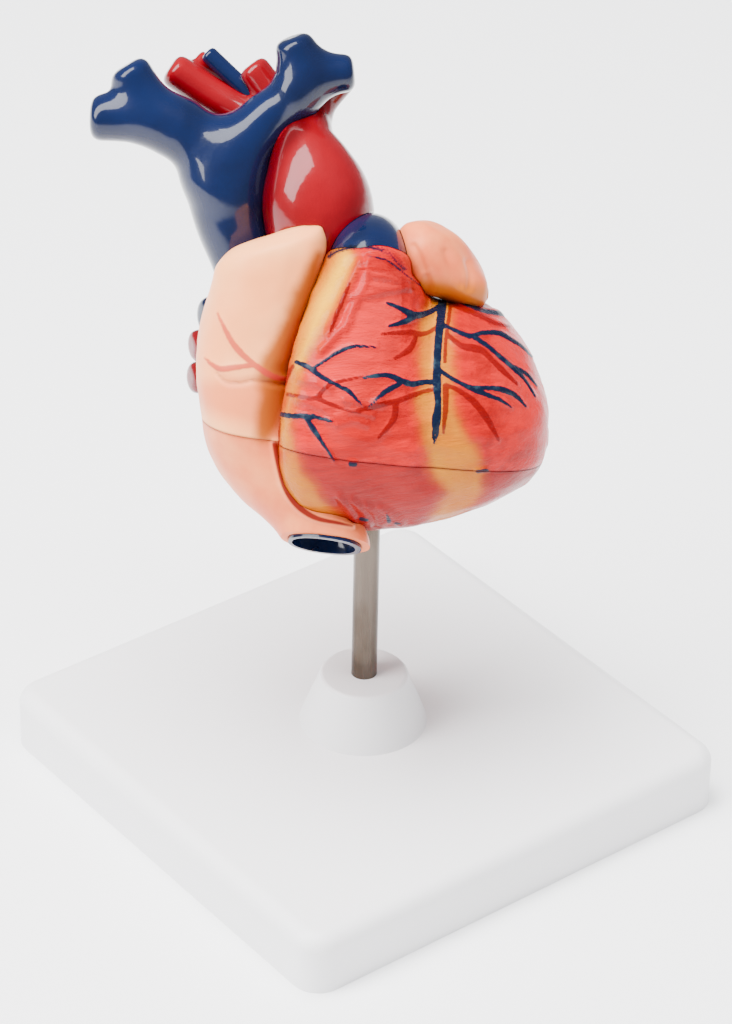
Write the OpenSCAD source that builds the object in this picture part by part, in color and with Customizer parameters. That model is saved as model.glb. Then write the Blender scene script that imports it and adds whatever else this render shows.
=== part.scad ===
// Human heart teaching model: two halves on a steel rod in a socket on a square base.
// Frame: origin at the middle of the base's underside, X and Y along its sides, Z up.
// The heart is drawn in its own frame: the seam between its halves is z = 0 there,
// x runs from the right atrium to the tip of the heart, and y runs from front to back.

/* [Base] */
// Side of the square base
base_side = 140; // [110:1:200]
// Height of the base
base_h = 17.6; // [16:0.2:30]
// Radius of the base's upright corners
corner_r = 7.8; // [6:0.2:20]
// Rounding of the base's top edge
edge_r = 4.5; // [1:0.1:5.5]
// Wall of the moulded base
base_wall = 2.6; // [1.6:0.1:3.4]
// Thickness of the ribs under the base
rib_t = 2; // [1.2:0.1:4]
// How far the ribs stop short of the rim
rib_short = 3; // [1:0.5:5]

/* [Rod and socket] */
// Diameter of the rod
rod_d = 7; // [5.5:0.1:8]
// Diameter of the rod's threaded end
thread_d = 5; // [3:0.1:5.2]
// Diameter of the socket's cone at the base
socket_low_d = 35; // [28:0.5:50]
// Diameter of the socket's cone at its top
socket_top_d = 24.4; // [16:0.2:27]
// Height of the socket's cone
socket_h = 15.4; // [8:0.2:40]
// Diameter of the socket's stem
stem_d = 13; // [11.5:0.1:16]
// Length of the stem under the base's top
stem_len = 8; // [5:0.1:9]
// Diameter of the washer
washer_d = 15; // [12:0.5:20]
// Thickness of the washer
washer_t = 1.2; // [0.8:0.1:2]
// Width of the nut across its flats
nut_w = 8; // [7:0.1:11]
// Height of the nut
nut_h = 4; // [3:0.1:5]
// Outer diameter of the sleeve in the heart
sleeve_d = 11.6; // [11:0.1:13]
// Length of the sleeve in the heart
sleeve_len = 20; // [16:0.5:21]
// Running clearance of the rod, on the radius
rod_clear = 0.06; // [0.02:0.01:0.1]

/* [Heart] */
// Width of the heart across its seam
heart_w = 92; // [84:1:100]
// Height of the seam on the rod's axis
heart_z = 110.5; // [106:0.5:130]
// Turn of the heart on the rod, in degrees
heart_turn = -40.3; // [-60:0.1:-20]
// Tilt of the heart towards its back, in degrees
heart_tilt = 20.5; // [12:0.1:28]
// Lean of the heart to its side, in degrees
heart_lean = 6.2; // [0:0.1:12]
// Gap between the two halves
seam_gap = 0.2; // [0.1:0.05:0.3]
// Wall of the two atria
atrium_wall = 3; // [2:0.1:4]
// Wall of the left ventricle at its tip
left_wall = 9; // [7:0.1:11]
// Wall of the right ventricle in front
right_wall = 6; // [4.5:0.1:8]
// Thickness of the valves' leaflets
leaflet_t = 0.9; // [0.6:0.05:1.4]
// Gap between pieces that are glued together
glue_gap = 0.15; // [0.1:0.01:0.2]
// Diameter of the magnets in the seam
magnet_d = 5; // [4:0.1:6]
// Thickness of the magnets
magnet_t = 3; // [2:0.1:4]

/* [Hidden] */
$fn = 64;
eps = 0.01;
far = 400;                      // half size of the block that cuts the halves apart
hs = heart_w / 92;              // scale of the heart's forms, which are drawn 92 mm wide
gap = glue_gap / hs;

// Heights on the rod's axis
plate_under = base_h - base_wall;
stem_end = base_h - stem_len;
washer_z = stem_end - washer_t;
nut_z = washer_z - nut_h;
rod_end = nut_z - 1.2;          // the thread shows a little past the nut
sleeve_z = heart_z - 25 * hs;   // the sleeve's mouth, in the underside of the heart
sleeve_cap = 2.5;               // end wall of the sleeve
rod_top = sleeve_z + sleeve_len - sleeve_cap;
boss_d = stem_d + 2 * 3.2;

// Colours
white = "WhiteSmoke";
steel = "Silver";
peach = [0.97, 0.76, 0.62];
muscle = [0.86, 0.33, 0.29];
blue = [0.1, 0.2, 0.42];
red = [0.78, 0.08, 0.12];
cream = [0.95, 0.85, 0.7];

// ---- Forms ----------------------------------------------------------------

// Cubic through b and c, at t from 0 to 1, with a before and d after them
function cubic(a, b, c, d, t) = 0.5 * (2 * b + (c - a) * t + (2 * a - 5 * b + 4 * c - d) * t * t
    + (3 * b - a - 3 * c + d) * t * t * t);

// Smooth run through a list of stations, at u from 0 to 1
function along(list, u) = let (last = len(list) - 1, v = u * last, i = min(floor(v), last - 1))
    cubic(list[max(i - 1, 0)], list[i], list[i + 1], list[min(i + 2, last)], v - i);

function unit(v) = v / norm(v);
function power(v, e) = sign(v) * pow(abs(v), e);

// Closed skin over a list of rings, with a fan at each end
module skin(rings) {
    n = len(rings);
    m = len(rings[0]);
    function middle(r) = [for (k = [0:2]) [for (p = r) p[k]] * [for (p = r) 1] / m];
    points = concat([for (r = rings) each r], [middle(rings[0]), middle(rings[n - 1])]);
    faces = concat(
        [for (i = [0:n - 2], j = [0:m - 1]) let (k = (j + 1) % m)
            each [[i * m + j, i * m + m + k, i * m + k], [i * m + j, i * m + m + j, i * m + m + k]]],
        [for (j = [0:m - 1]) [n * m, j, (j + 1) % m]],
        [for (j = [0:m - 1]) [n * m + 1, (n - 1) * m + (j + 1) % m, (n - 1) * m + j]]);
    polyhedron(points, faces);
}

// Egg-shaped ring: centre c, half widths along a (minus, plus) and along b (minus, plus)
function egg(c, a, b, w, m, grow, round) = [for (j = [0:m - 1]) let (t = 360 * j / m,
    p = power(cos(t), round), q = power(sin(t), round))
    c + a * p * (max(p < 0 ? w[0] : w[1], 0.3) + grow)
      + b * q * (max(q < 0 ? w[2] : w[3], 0.3) + grow)];

// Form stacked upwards. A station is [x, y, z, left, right, front, back, rise in x, rise in y]
module stack(stations, n, m, grow = 0, round = 1) {
    skin([for (i = [0:n]) let (s = along(stations, i / n))
        egg([s[0], s[1], s[2] + (i == 0 ? -grow : i == n ? grow : 0)], [1, 0, s[7]], [0, 1, s[8]],
            [s[3], s[4], s[5], s[6]], m, grow, round)]);
}

// Form laid along x. A station is [x, y, z, front, back, down, up, slant]
module lay(stations, n, m, grow = 0, round = 1) {
    skin([for (i = [0:n]) let (s = along(stations, i / n))
        egg([s[0] + (i == 0 ? -grow : i == n ? grow : 0), s[1], s[2]], [s[7], 1, 0], [0, 0, 1],
            [s[3], s[4], s[5], s[6]], m, grow, round)]);
}

// Round tube along a route of [x, y, z, radius], with rounded ends
module vessel(route, n, m = 14, grow = 0, squash = 1) {
    edge = 0.22;                // share of the radius that an end is rounded over
    function at(u) = let (s = along(route, u)) [s[0], s[1], s[2]];
    function way(u) = unit(at(min(u + 0.02, 1)) - at(max(u - 0.02, 0)));
    function hoop(u, r, shift) = let (w = way(u), a = unit(cross(w, [0.2, 1, 0.1])), b = cross(w, a))
        [for (j = [0:m - 1]) at(u) + w * shift
            + a * r * cos(360 * j / m) + b * r * squash * sin(360 * j / m)];
    first = route[0][3] + grow;
    final = route[len(route) - 1][3] + grow;
    skin(concat(
        [hoop(0, first * (1 - edge), -edge * first - grow)],
        [for (i = [0:n]) hoop(i / n, along(route, i / n)[3] + grow, 0)],
        [hoop(1, final * (1 - edge), edge * final + grow)]));
}

// One closed moulding: what is inside is cut and joined as a single skin
module moulding() {
    resize([0, 0, 0]) children();
}

// Places what is drawn in the heart's own frame on the rod
module in_heart() {
    translate([0, 0, heart_z]) rotate([-heart_tilt, heart_lean, heart_turn]) scale(hs) children();
}

module lower_half() {
    intersection() {
        children();
        translate([-far, -far, -2 * far - seam_gap / 2 / hs]) cube(2 * far);
    }
}

module upper_half() {
    intersection() {
        children();
        translate([-far, -far, seam_gap / 2 / hs]) cube(2 * far);
    }
}

// ---- Stations of the heart's forms ------------------------------------------

// [x, y, z, front, back, down, up, slant] from the valves' plane to the tip
ventricle_line = [
    [-19.5, -5, 9, 8, 7, 9, 11, 0.3],
    [-18.2, -5, 9, 18, 14, 19, 23, 0.3],
    [-15, -5, 9, 26, 21, 28.5, 33.5, 0.3],
    [-10, -5, 9, 30, 25, 32.5, 37.5, 0.3],
    [-4, -4.5, 9, 32, 27.5, 34, 38, 0.28],
    [4, -4, 9, 33, 28.5, 33, 34, 0.25],
    [12, -3.5, 8.5, 32, 28.5, 31, 30.5, 0.2],
    [21, -3.5, 8, 30, 27.5, 27.5, 31, 0.15],
    [30, -4, 7.5, 26.5, 24, 22.5, 28, 0.1],
    [37, -4.5, 7, 21, 19.5, 17.5, 22.5, 0.05],
    [42.2, -5, 6.5, 15, 14, 12.5, 15, 0],
    [45, -5, 6, 9, 8, 7.5, 8.5, 0],
    [46, -5, 6, 3, 3, 3, 3, 0]];

// [x, y, z, left, right, front, back, rise in x, rise in y] from the lower vein's mouth upwards
right_atrium_line = [
    [-8, -21, -25.5, 11.6, 11.6, 7.5, 8, 0, -0.56],
    [-10.5, -18.5, -22.5, 13, 13, 9, 10, 0, -0.5],
    [-17.5, -14, -16, 16.5, 15, 12, 14, 0, -0.4],
    [-25, -9, -8, 16, 12, 16, 18, 0, -0.2],
    [-30, -6, 2, 14.5, 12, 19, 19, 0, 0],
    [-31, -5, 12, 16, 11.5, 19.5, 19, 0, 0],
    [-31, -5.5, 22, 16.2, 11, 18, 17, 0, 0],
    [-30.5, -8, 31, 15.8, 11, 15.5, 14, 0.08, 0],
    [-30.2, -11, 39, 15.5, 11.6, 12, 10.5, 0.2, 0],
    [-30, -13, 45.4, 15.2, 11.6, 9.5, 8.5, 0.3, 0],
    [-29.5, -14, 49.5, 13.4, 10.4, 7.5, 7, 0.36, 0],
    [-29, -14, 51.4, 10.4, 8.8, 5, 5, 0.38, 0],
    [-28.5, -14, 52.4, 5, 5, 2.5, 2.5, 0.4, 0]];

left_atrium_line = [
    [-6, 22, -15, 6, 6, 4, 4, 0, 0],
    [-6, 22, -12, 14, 14, 9, 8, 0, 0],
    [-6, 22, -3, 20, 21, 14, 13, 0, 0],
    [-6, 22, 10, 23, 24, 16, 16, 0, 0],
    [-5, 22, 22, 21, 23, 15, 15, 0, 0],
    [-3, 22, 31, 15, 18, 11, 11, 0, 0],
    [-2, 22, 35, 7, 8, 5, 5, 0, 0]];

// Laid along x: the lobe over the left shoulder
left_auricle_line = [
    [0.2, -7, 53, 3, 3, 3, 2.5, 0],
    [2.5, -7, 52, 6.5, 7, 6, 5.6, 0],
    [8, -7, 49.5, 9, 11, 9, 8.8, 0],
    [14.5, -5, 46.5, 9, 13, 8, 9, 0],
    [20.5, -3, 43, 8, 12, 5.5, 7, 0],
    [24, -2, 41.5, 6, 8, 3.5, 4.2, 0],
    [25.2, -2, 41, 2.5, 3, 1.5, 1.8, 0]];

right_chamber_line = [
    [-18, -14, 1, 4, 4, 5, 6, 0.5],
    [-15, -14, 2, 8, 8, 10, 13, 0.5],
    [-8, -15.5, 4, 11, 9.5, 15, 26, 0.4],
    [0, -17.5, 3, 11, 8, 15.5, 24, 0.3],
    [8, -20, 2, 8.5, 6, 12.5, 13, 0.2],
    [13.5, -21.5, 1, 5, 4, 8, 8, 0.2],
    [16.5, -22, 0.5, 2, 2, 3, 3, 0.2]];

left_chamber_line = [
    [8, 12, 3, 3, 3, 4, 5, 0.5],
    [10, 11, 3, 7, 7, 9, 13, 0.5],
    [16, 7.5, 3, 10, 9.5, 12, 19, 0.4],
    [23, 3, 3, 10, 9.5, 12, 15, 0.3],
    [30, -1, 3, 8, 7.5, 9.5, 11, 0.2],
    [35, -4, 3, 5, 4.5, 6, 7, 0.1],
    [37, -5, 3, 2, 2, 2.5, 3, 0]];

// Routes of the vessels, [x, y, z, radius]
ascending_route = [[-12, 2, 34, 10], [-18, 0.5, 46, 13], [-21, 0, 57, 14.6], [-23, 0, 65, 12.6],
    [-26, 3, 71.8, 9], [-28.5, 10, 76, 8.3], [-29, 19, 75, 7.8], [-25, 27, 67, 7.5],
    [-20, 32, 56, 7.2], [-16, 35, 45, 7], [-14, 37, 35, 6.8]];
artery_routes = [
    [[-29, 9, 75.5, 4.8], [-40, 14, 76, 4.7], [-52, 17, 80, 4.7], [-63, 17, 85.4, 4.5]],
    [[-29, 15, 77, 2.8], [-40, 20, 79, 2.6], [-50, 22, 84, 2.5], [-57, 22, 88.5, 2.4]],
    [[-27, 12, 78, 4.4], [-33, 13.5, 80, 4.2], [-38, 14.5, 84.5, 4.2], [-42.5, 15, 89, 4.1]],
    [[-26, 12, 78, 4], [-22.5, 12, 84, 3.8], [-18.5, 11, 90, 3.6]]];
small_vein_route = [[-40, 15, 80.5, 2.2], [-46, 16.5, 84.5, 2.3], [-54.5, 18, 90.5, 2.3]];
trunk_route = [[-6, -16, 41, 9.8], [-6.5, -13.5, 47, 10], [-6.5, -7, 49.5, 9.2], [-6.5, 1, 48, 8.6],
    [-6.5, 9, 44.5, 7.8], [-7, 16, 41, 7]];
right_branch_route = [[-7, 15, 42, 6.3], [-14, 21, 36, 6.2], [-26, 22, 29, 6],
    [-37, 18, 24, 5.8], [-46, 13, 22, 5.6]];
left_branch_route = [[-5, 14, 43, 6], [3, 21, 41, 5.8], [10, 28, 37, 5.6], [15, 34, 33, 5.4]];
upper_vein_route = [[-36, 1, 31, 7.2], [-38.5, 3, 40, 8], [-42.5, 4, 50, 9.6], [-46, 5, 59.5, 10.4],
    [-51.5, 5.5, 67, 9], [-60, 6, 71.5, 7], [-70.5, 6, 72.6, 6.1], [-81, 6, 71.8, 6]];
vein_right_route = [[-45, 5, 58, 9.6], [-42, 5, 69, 8.6], [-37, 5, 77, 7.2],
    [-31.5, 4.5, 83.5, 6.4], [-29, 4, 90, 5.8], [-33, 3.5, 98.5, 5]];
vein_stub_routes = [
    [[-60, 6, 72.5, 6.4], [-67, 6, 77, 5.7], [-74, 6, 85.5, 5.3]],
    [[-31, 4.5, 86, 5.8], [-25, 4.5, 90.2, 5.2], [-17.3, 4.5, 92.3, 4.9]]];
lung_vein_routes = [
    [[-20, 22, 17, 4.6], [-33, 22, 16, 4.4], [-46.5, 16, 14, 4.3]],
    [[-18, 23, 7, 4.6], [-32, 23, 6.5, 4.4], [-45.5, 17, 5.5, 4.3]],
    [[10, 26, 22, 4.6], [18, 33, 23, 4.4], [24, 39, 24, 4.3]],
    [[10, 26, 9, 4.6], [18, 34, 9, 4.4], [24, 41, 10, 4.3]]];

// Neck of the ventricles, which the trunk of the lungs' arteries comes out of
neck_route = [[-1, -11, 18, 17], [-3.5, -13.5, 31, 14.6], [-5.8, -15.4, 41, 11.6], [-6.4, -14, 46.6, 10.9]];

// Valves: centre, way of the flow, radius, length, cusps
tricuspid = [[-19, -13, 3], [1, -0.25, 0], 8.5, 9, 3];
mitral = [[5, 14.5, 2], [0.85, -0.5, 0], 7.5, 9, 2];

// ---- Heart pieces -------------------------------------------------------------

module ventricle_form(grow = 0) {
    lay(ventricle_line, 24, 28, grow, 0.92);
    vessel(neck_route, 5, 16, grow);
}
module right_atrium_form(grow = 0, n = 18, m = 18) stack(right_atrium_line, n, m, grow, 0.9);
module left_atrium_form(grow = 0, n = 10, m = 18) stack(left_atrium_line, n, m, grow, 0.9);
module left_auricle_form(grow = 0) lay(left_auricle_line, 10, 14, grow);
module aorta_form(grow = 0) vessel(ascending_route, 16, 14, grow);
module trunk_form(grow = 0) {
    vessel(trunk_route, 8, 14, grow);
    vessel(right_branch_route, 6, 10, grow);
    vessel(left_branch_route, 4, 10, grow);
}
module upper_vein_form(grow = 0) {
    vessel(upper_vein_route, 12, 12, grow);
    vessel(vein_right_route, 8, 12, grow);
    for (route = vein_stub_routes) vessel(route, 3, 10, grow);
}

// Hollow of a valve's way through the walls
module valve_way(v, grow = 0) {
    way = unit(v[1]);
    translate(v[0]) rotate([0, acos(way[2]), atan2(way[1], way[0])])
        translate([0, 0, -9]) cylinder(r = v[2] + grow, h = 14, $fn = 18);
}

// Ring and leaflets of a valve, which narrow along the flow and end in cusps
module valve_form(v) {
    m = 18;
    way = unit(v[1]);
    r = v[2];
    long = v[3];
    t = leaflet_t / hs;
    // outline of the wall at one angle: ring, outer side, tip, inner side
    function wall(a) = let (c = cos(v[4] * a), tip = r * (0.62 + 0.12 * c), deep = long * (0.8 + 0.2 * c))
        [[r - 0.2, -1.6], [r - 0.2, 1], [tip, deep], [tip - t, deep], [r - 1.8, 0], [r - 1.8, -1.6]];
    k = 6;
    points = [for (i = [0:m - 1]) let (a = 360 * i / m) for (p = wall(a)) [p[0] * cos(a), p[0] * sin(a), p[1]]];
    faces = [for (i = [0:m - 1], j = [0:k - 1]) let (n = (i + 1) % m, l = (j + 1) % k)
        each [[i * k + j, i * k + l, n * k + l], [i * k + j, n * k + l, n * k + j]]];
    translate(v[0]) rotate([0, acos(way[2]), atan2(way[1], way[0])]) polyhedron(points, faces);
}

// Blue lining of the lower vein's mouth, from the mouth inwards
cava_line = [
    [-8, -21.6, -26.4, 9.5, 9.5, 6.9, 6.9, 0, -0.56],
    [-8.6, -19.6, -23, 9.3, 9.3, 6.7, 6.7, 0, -0.56],
    [-10, -17.6, -19.6, 8.5, 8.5, 6, 6, 0, -0.54],
    [-11.5, -16.2, -17.2, 6, 6, 4.4, 4.4, 0, -0.5]];
cava_way = [0, -0.49, -0.87];
cava_wall = 1.2;

// Ways out of the ventricles, up to the valves of the great vessels
outlet_routes = [
    [[12, 8, 12, 7], [3, 6, 23, 6.6], [-6, 3.5, 31, 7]],
    [[-7, -15.5, 20, 7], [-6.4, -15.6, 28, 7.2], [-6, -15.8, 35, 7.2]]];
aortic_seat = [[-4.6, 3.9, 29.6], [-0.75, -0.2, 0.63], 6.6];
pulmonary_seat = [[-6.2, -15.7, 31.5], [0.05, -0.03, 1], 6.9];

// Papillary muscles of the lower half, [x, y, z, radius] from the wall to the tip, and the ends
// of each one's cords. The upper half's are mirrored at mid_z, apart from the last one's cords.
muscle_routes = [
    [[32, 0, -8.5, 3.4], [27, 1.5, -5.8, 2.9], [21.5, 4.5, -3.6, 1.8]],
    [[24, 11, -8.5, 3], [20, 9, -6.2, 2.6], [16.8, 10, -4.4, 1.5]],
    [[9, -25, -10, 3.2], [4, -21.5, -7, 2.7], [-1.5, -18.5, -4.6, 1.7]]];
cord_ends = [
    [[12.9, 8.6, -3.4], [10.8, 7.7, -1.85]],
    [[14, 10.9, -3.6], [13.6, 12.9, -2.05]],
    [[-9.4, -15.5, -3.4], [-11.8, -17.6, -1.9]]];
last_ends_upper = [[-8.4, -10.6, 6.3], [-10.7, -20.3, 6.3]];
mid_z = 2.1;
cord_r = 0.55;

module chambers(grow = 0) {
    lay(right_chamber_line, 10, 14, grow + 6 - right_wall / hs);
    lay(left_chamber_line, 10, 14, grow + (9 - left_wall) / hs);
}

module hollows() {
    chambers();
    valve_way(tricuspid);
    valve_way(mitral);
    for (route = outlet_routes) vessel(route, 3, 12);
}

module magnet_places() {
    for (p = [[-9, 6], [24, -19], [22, 19.5]]) translate([p[0], p[1], 0]) children();
}

module magnet_pockets() {
    magnet_places() cylinder(d = (magnet_d + 2 * glue_gap) / hs / cos(180 / 16), h = 2 * (magnet_t + glue_gap) / hs
        + seam_gap / hs, center = true, $fn = 16);
}

module ventricles() {
    difference() {
        ventricle_form();
        hollows();
        magnet_pockets();
        stack(cava_line, 4, 18, gap);
    }
}

module right_atrium() {
    difference() {
        right_atrium_form();
        ventricle_form(gap);
        intersection() {
            right_atrium_form(-atrium_wall / hs, 12, 14);
            translate([-far, -far, -14]) cube(2 * far);
        }
        valve_way(tricuspid);
        stack(cava_line, 4, 18, gap);
    }
}

module left_atrium() {
    difference() {
        left_atrium_form();
        ventricle_form(gap);
        right_atrium_form(gap);
        left_atrium_form(-atrium_wall / hs, 8, 12);
        valve_way(mitral);
    }
}

// Thin plate with a hollow for each of its cusps, across the flow
module half_moons(v) {
    m = 18;
    way = unit(v[1]);
    r = v[2] - gap;
    t = leaflet_t / hs;
    function sag(p, a) = -4.2 * sin(180 * min(p, 1)) * (0.35 + 0.65 * abs(sin(1.5 * a)));
    function hoop(p, lift) = [for (j = [0:m - 1]) let (a = 360 * j / m)
        [r * p * cos(a), r * p * sin(a), sag(p, a) + lift]];
    shares = [0.1, 0.4, 0.7, 1];
    translate(v[0]) rotate([0, acos(way[2]), atan2(way[1], way[0])])
        skin(concat([for (p = shares) hoop(p, 0)], [for (i = [3:-1:0]) hoop(shares[i], t)]));
}

// Papillary muscles with the cords that run from them to the leaflets
module muscles(upper) {
    function side(p) = upper ? [p[0], p[1], 2 * mid_z - p[2]] : p;
    for (i = [0:2]) {
        route = [for (p = muscle_routes[i]) [each side([p[0], p[1], p[2]]), p[3]]];
        root = [for (k = [0:2]) muscle_routes[i][1][k]];
        end_point = [for (k = [0:2]) muscle_routes[i][2][k]];
        tip = side(end_point + (root - end_point) * 0.2 + [0.07, 0.11, 0.05]);
        ends = upper && i == 2 ? last_ends_upper : [for (p = cord_ends[i]) side(p)];
        intersection() {
            union() {
                vessel(route, 4, 8);
                for (end = ends) vessel([[each tip, cord_r], [each (tip + end) / 2, cord_r], [each end, cord_r]], 2, 5);
            }
            chambers(-gap);
        }
    }
}

// ---- Stand pieces ---------------------------------------------------------------

module rounded_square(side, r) {
    square([side, side - 2 * r], center = true);
    square([side - 2 * r, side], center = true);
    for (x = [-1, 1], y = [-1, 1]) translate([x, y] * (side / 2 - r)) circle(r);
}

// Upright section of the base, w wide, with its top corners rounded
module base_section(w) {
    translate([-w / 2, 0]) square([w, base_h - edge_r]);
    translate([-w / 2 + edge_r, 0]) square([w - 2 * edge_r, base_h]);
    for (x = [-1, 1]) translate([x * (w / 2 - edge_r), base_h - edge_r]) circle(edge_r);
}

module base_block() {
    reach = base_side / 2 - corner_r;
    for (x = [-1, 1], y = [-1, 1]) translate([x * reach, y * reach, 0])
        rotate_extrude() intersection() {
            base_section(2 * corner_r);
            square([corner_r, base_h]);
        }
    for (turn = [0, 90]) rotate([90, 0, turn])
        translate([0, 0, -reach]) linear_extrude(2 * reach) base_section(base_side);
}

module base_plate() {
    inner = base_side - 2 * base_wall;
    color(white) difference() {
        union() {
            difference() {
                base_block();
                translate([0, 0, -1]) linear_extrude(plate_under + 1)
                    rounded_square(inner, corner_r - base_wall);
            }
            translate([0, 0, stem_end]) cylinder(d = boss_d, h = plate_under - stem_end + eps);
            for (turn = [0, 90, 180, 270]) rotate([0, 0, turn])
                translate([boss_d / 2 - 0.5, -rib_t / 2, rib_short])
                    cube([inner / 2 - boss_d / 2 + 0.5 + eps, rib_t, plate_under - rib_short + eps]);
        }
        translate([0, 0, -1]) cylinder(d = washer_d + 3, h = stem_end + 1);
        cylinder(d = stem_d + glue_gap, h = 2 * base_h);
    }
}

module rod_socket() {
    round = 1.2;                // rounding of the cone's top edge
    low = socket_low_d / 2;
    top = socket_top_d / 2;
    color(white) difference() {
        union() {
            translate([0, 0, base_h]) rotate_extrude() polygon(concat([[0, 0], [low, 0]],
                [for (a = [0:18:90]) [top - round + round * cos(a), socket_h - round + round * sin(a)]],
                [[0, socket_h]]));
            translate([0, 0, stem_end]) cylinder(d = stem_d, h = stem_len + eps);
        }
        translate([0, 0, stem_end - 1]) cylinder(d = rod_d + 2 * rod_clear, h = stem_len + socket_h + 2);
    }
}

module stand_rod() {
    chamfer = 0.6;
    color(steel) {
        translate([0, 0, rod_end]) cylinder(d = thread_d, h = stem_end - rod_end + eps);
        translate([0, 0, stem_end]) cylinder(d = rod_d, h = rod_top - chamfer - stem_end);
        translate([0, 0, rod_top - chamfer])
            cylinder(d1 = rod_d, d2 = rod_d - 2 * chamfer, h = chamfer);
    }
}

module rod_washer() {
    color(steel) translate([0, 0, washer_z]) difference() {
        cylinder(d = washer_d, h = washer_t);
        translate([0, 0, -1]) cylinder(d = thread_d + 0.4, h = washer_t + 2);
    }
}

module rod_nut() {
    color(steel) translate([0, 0, nut_z]) difference() {
        cylinder(d = nut_w / cos(30), h = nut_h, $fn = 6);
        translate([0, 0, -1]) cylinder(d = thread_d + 0.1, h = nut_h + 2);
    }
}

module rod_sleeve() {
    color(cream) translate([0, 0, sleeve_z]) difference() {
        cylinder(d = sleeve_d, h = sleeve_len);
        translate([0, 0, -1]) cylinder(d = rod_d + 2 * rod_clear, h = sleeve_len - sleeve_cap + 1);
    }
}

// ---- Pieces of the heart ----------------------------------------------------------

module ventricles_lower() {
    sides = 32;
    color(muscle) moulding() difference() {
        in_heart() lower_half() ventricles();
        translate([0, 0, sleeve_z - far]) cylinder(r = (sleeve_d / 2 + glue_gap) / cos(180 / sides),
            h = sleeve_len + glue_gap + far, $fn = sides);
    }
}
module ventricles_upper() color(muscle) moulding() in_heart() upper_half() ventricles();
module right_atrium_lower() color(peach) moulding() in_heart() lower_half() right_atrium();
module right_atrium_upper() color(peach) moulding() in_heart() upper_half() right_atrium();
module left_atrium_lower() color(peach) moulding() in_heart() lower_half() left_atrium();
module left_atrium_upper() color(peach) moulding() in_heart() upper_half() left_atrium();
module left_auricle() color(peach) moulding() in_heart() difference() {
    left_auricle_form();
    ventricle_form(gap);
    trunk_form(gap);
    aorta_form(gap);
}
module pulmonary_trunk() color(blue) moulding() in_heart() difference() {
    trunk_form();
    ventricle_form(gap);
    left_atrium_form(gap);
    right_atrium_form(gap);
    vessel(upper_vein_route, 12, 12, gap);
}
module aorta() color(red) moulding() in_heart() difference() {
    union() {
        aorta_form();
        for (route = artery_routes) vessel(route, 4, 8);
    }
    ventricle_form(gap);
    left_atrium_form(gap);
    right_atrium_form(gap);
    trunk_form(gap);
    upper_vein_form(gap);
}
module superior_vena_cava() color(blue) moulding() in_heart() difference() {
    upper_vein_form();
    right_atrium_form(gap);
    ventricle_form(gap);
}
module small_vein() color(blue) moulding() in_heart() difference() {
    vessel(small_vein_route, 3, 8);
    upper_vein_form(gap);
    for (route = artery_routes) vessel(route, 4, 8, gap);
}
module pulmonary_veins() color(red) moulding() in_heart() difference() {
    for (route = lung_vein_routes) vessel(route, 4, 8);
    left_atrium_form(gap);
    right_atrium_form(gap);
    ventricle_form(gap);
    trunk_form(gap);
}
module inferior_vena_cava() color(blue) moulding() in_heart() difference() {
    stack(cava_line, 4, 18);
    translate(cava_way * 2.2) stack(cava_line, 4, 18, -cava_wall);
}
module tricuspid_valve_lower() color(cream) moulding() in_heart() lower_half() valve_form(tricuspid);
module tricuspid_valve_upper() color(cream) moulding() in_heart() upper_half() valve_form(tricuspid);
module mitral_valve_lower() color(cream) moulding() in_heart() lower_half() valve_form(mitral);
module mitral_valve_upper() color(cream) moulding() in_heart() upper_half() valve_form(mitral);
module aortic_valve() color(cream) moulding() in_heart() half_moons(aortic_seat);
module pulmonary_valve() color(cream) moulding() in_heart() half_moons(pulmonary_seat);
module papillary_muscles_lower() color(muscle) moulding() in_heart() lower_half() muscles(false);
module papillary_muscles_upper() color(muscle) moulding() in_heart() upper_half() muscles(true);
module magnets_lower() color(steel) in_heart() magnet_places()
    translate([0, 0, (-seam_gap / 2 - magnet_t) / hs]) cylinder(d = magnet_d / hs, h = magnet_t / hs);
module magnets_upper() color(steel) in_heart() magnet_places()
    translate([0, 0, seam_gap / 2 / hs]) cylinder(d = magnet_d / hs, h = magnet_t / hs);

base_plate();
rod_socket();
stand_rod();
rod_washer();
rod_nut();
rod_sleeve();
ventricles_lower();
ventricles_upper();
right_atrium_lower();
right_atrium_upper();
left_atrium_lower();
left_atrium_upper();
left_auricle();
aorta();
superior_vena_cava();
small_vein();
pulmonary_trunk();
pulmonary_veins();
inferior_vena_cava();
tricuspid_valve_lower();
tricuspid_valve_upper();
mitral_valve_lower();
mitral_valve_upper();
aortic_valve();
pulmonary_valve();
papillary_muscles_lower();
papillary_muscles_upper();
magnets_lower();
magnets_upper();
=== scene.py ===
import bpy
import numpy as np
from mathutils import Matrix, Vector
from mathutils.bvhtree import BVHTree


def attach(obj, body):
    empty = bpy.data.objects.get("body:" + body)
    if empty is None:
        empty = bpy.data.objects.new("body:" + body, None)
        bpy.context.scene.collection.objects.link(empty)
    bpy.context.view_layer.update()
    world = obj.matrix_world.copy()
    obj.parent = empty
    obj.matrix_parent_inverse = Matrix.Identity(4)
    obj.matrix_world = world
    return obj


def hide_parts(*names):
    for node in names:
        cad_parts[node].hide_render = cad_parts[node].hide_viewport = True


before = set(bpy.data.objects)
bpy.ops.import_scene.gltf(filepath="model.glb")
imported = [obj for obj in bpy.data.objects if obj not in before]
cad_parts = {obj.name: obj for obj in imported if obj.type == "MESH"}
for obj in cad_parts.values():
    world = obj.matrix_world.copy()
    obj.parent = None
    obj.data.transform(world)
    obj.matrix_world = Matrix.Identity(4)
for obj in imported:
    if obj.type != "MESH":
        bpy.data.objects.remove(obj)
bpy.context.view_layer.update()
print("frame loaded")

mm = 0.001

# ---- Camera -------------------------------------------------------------------

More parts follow.
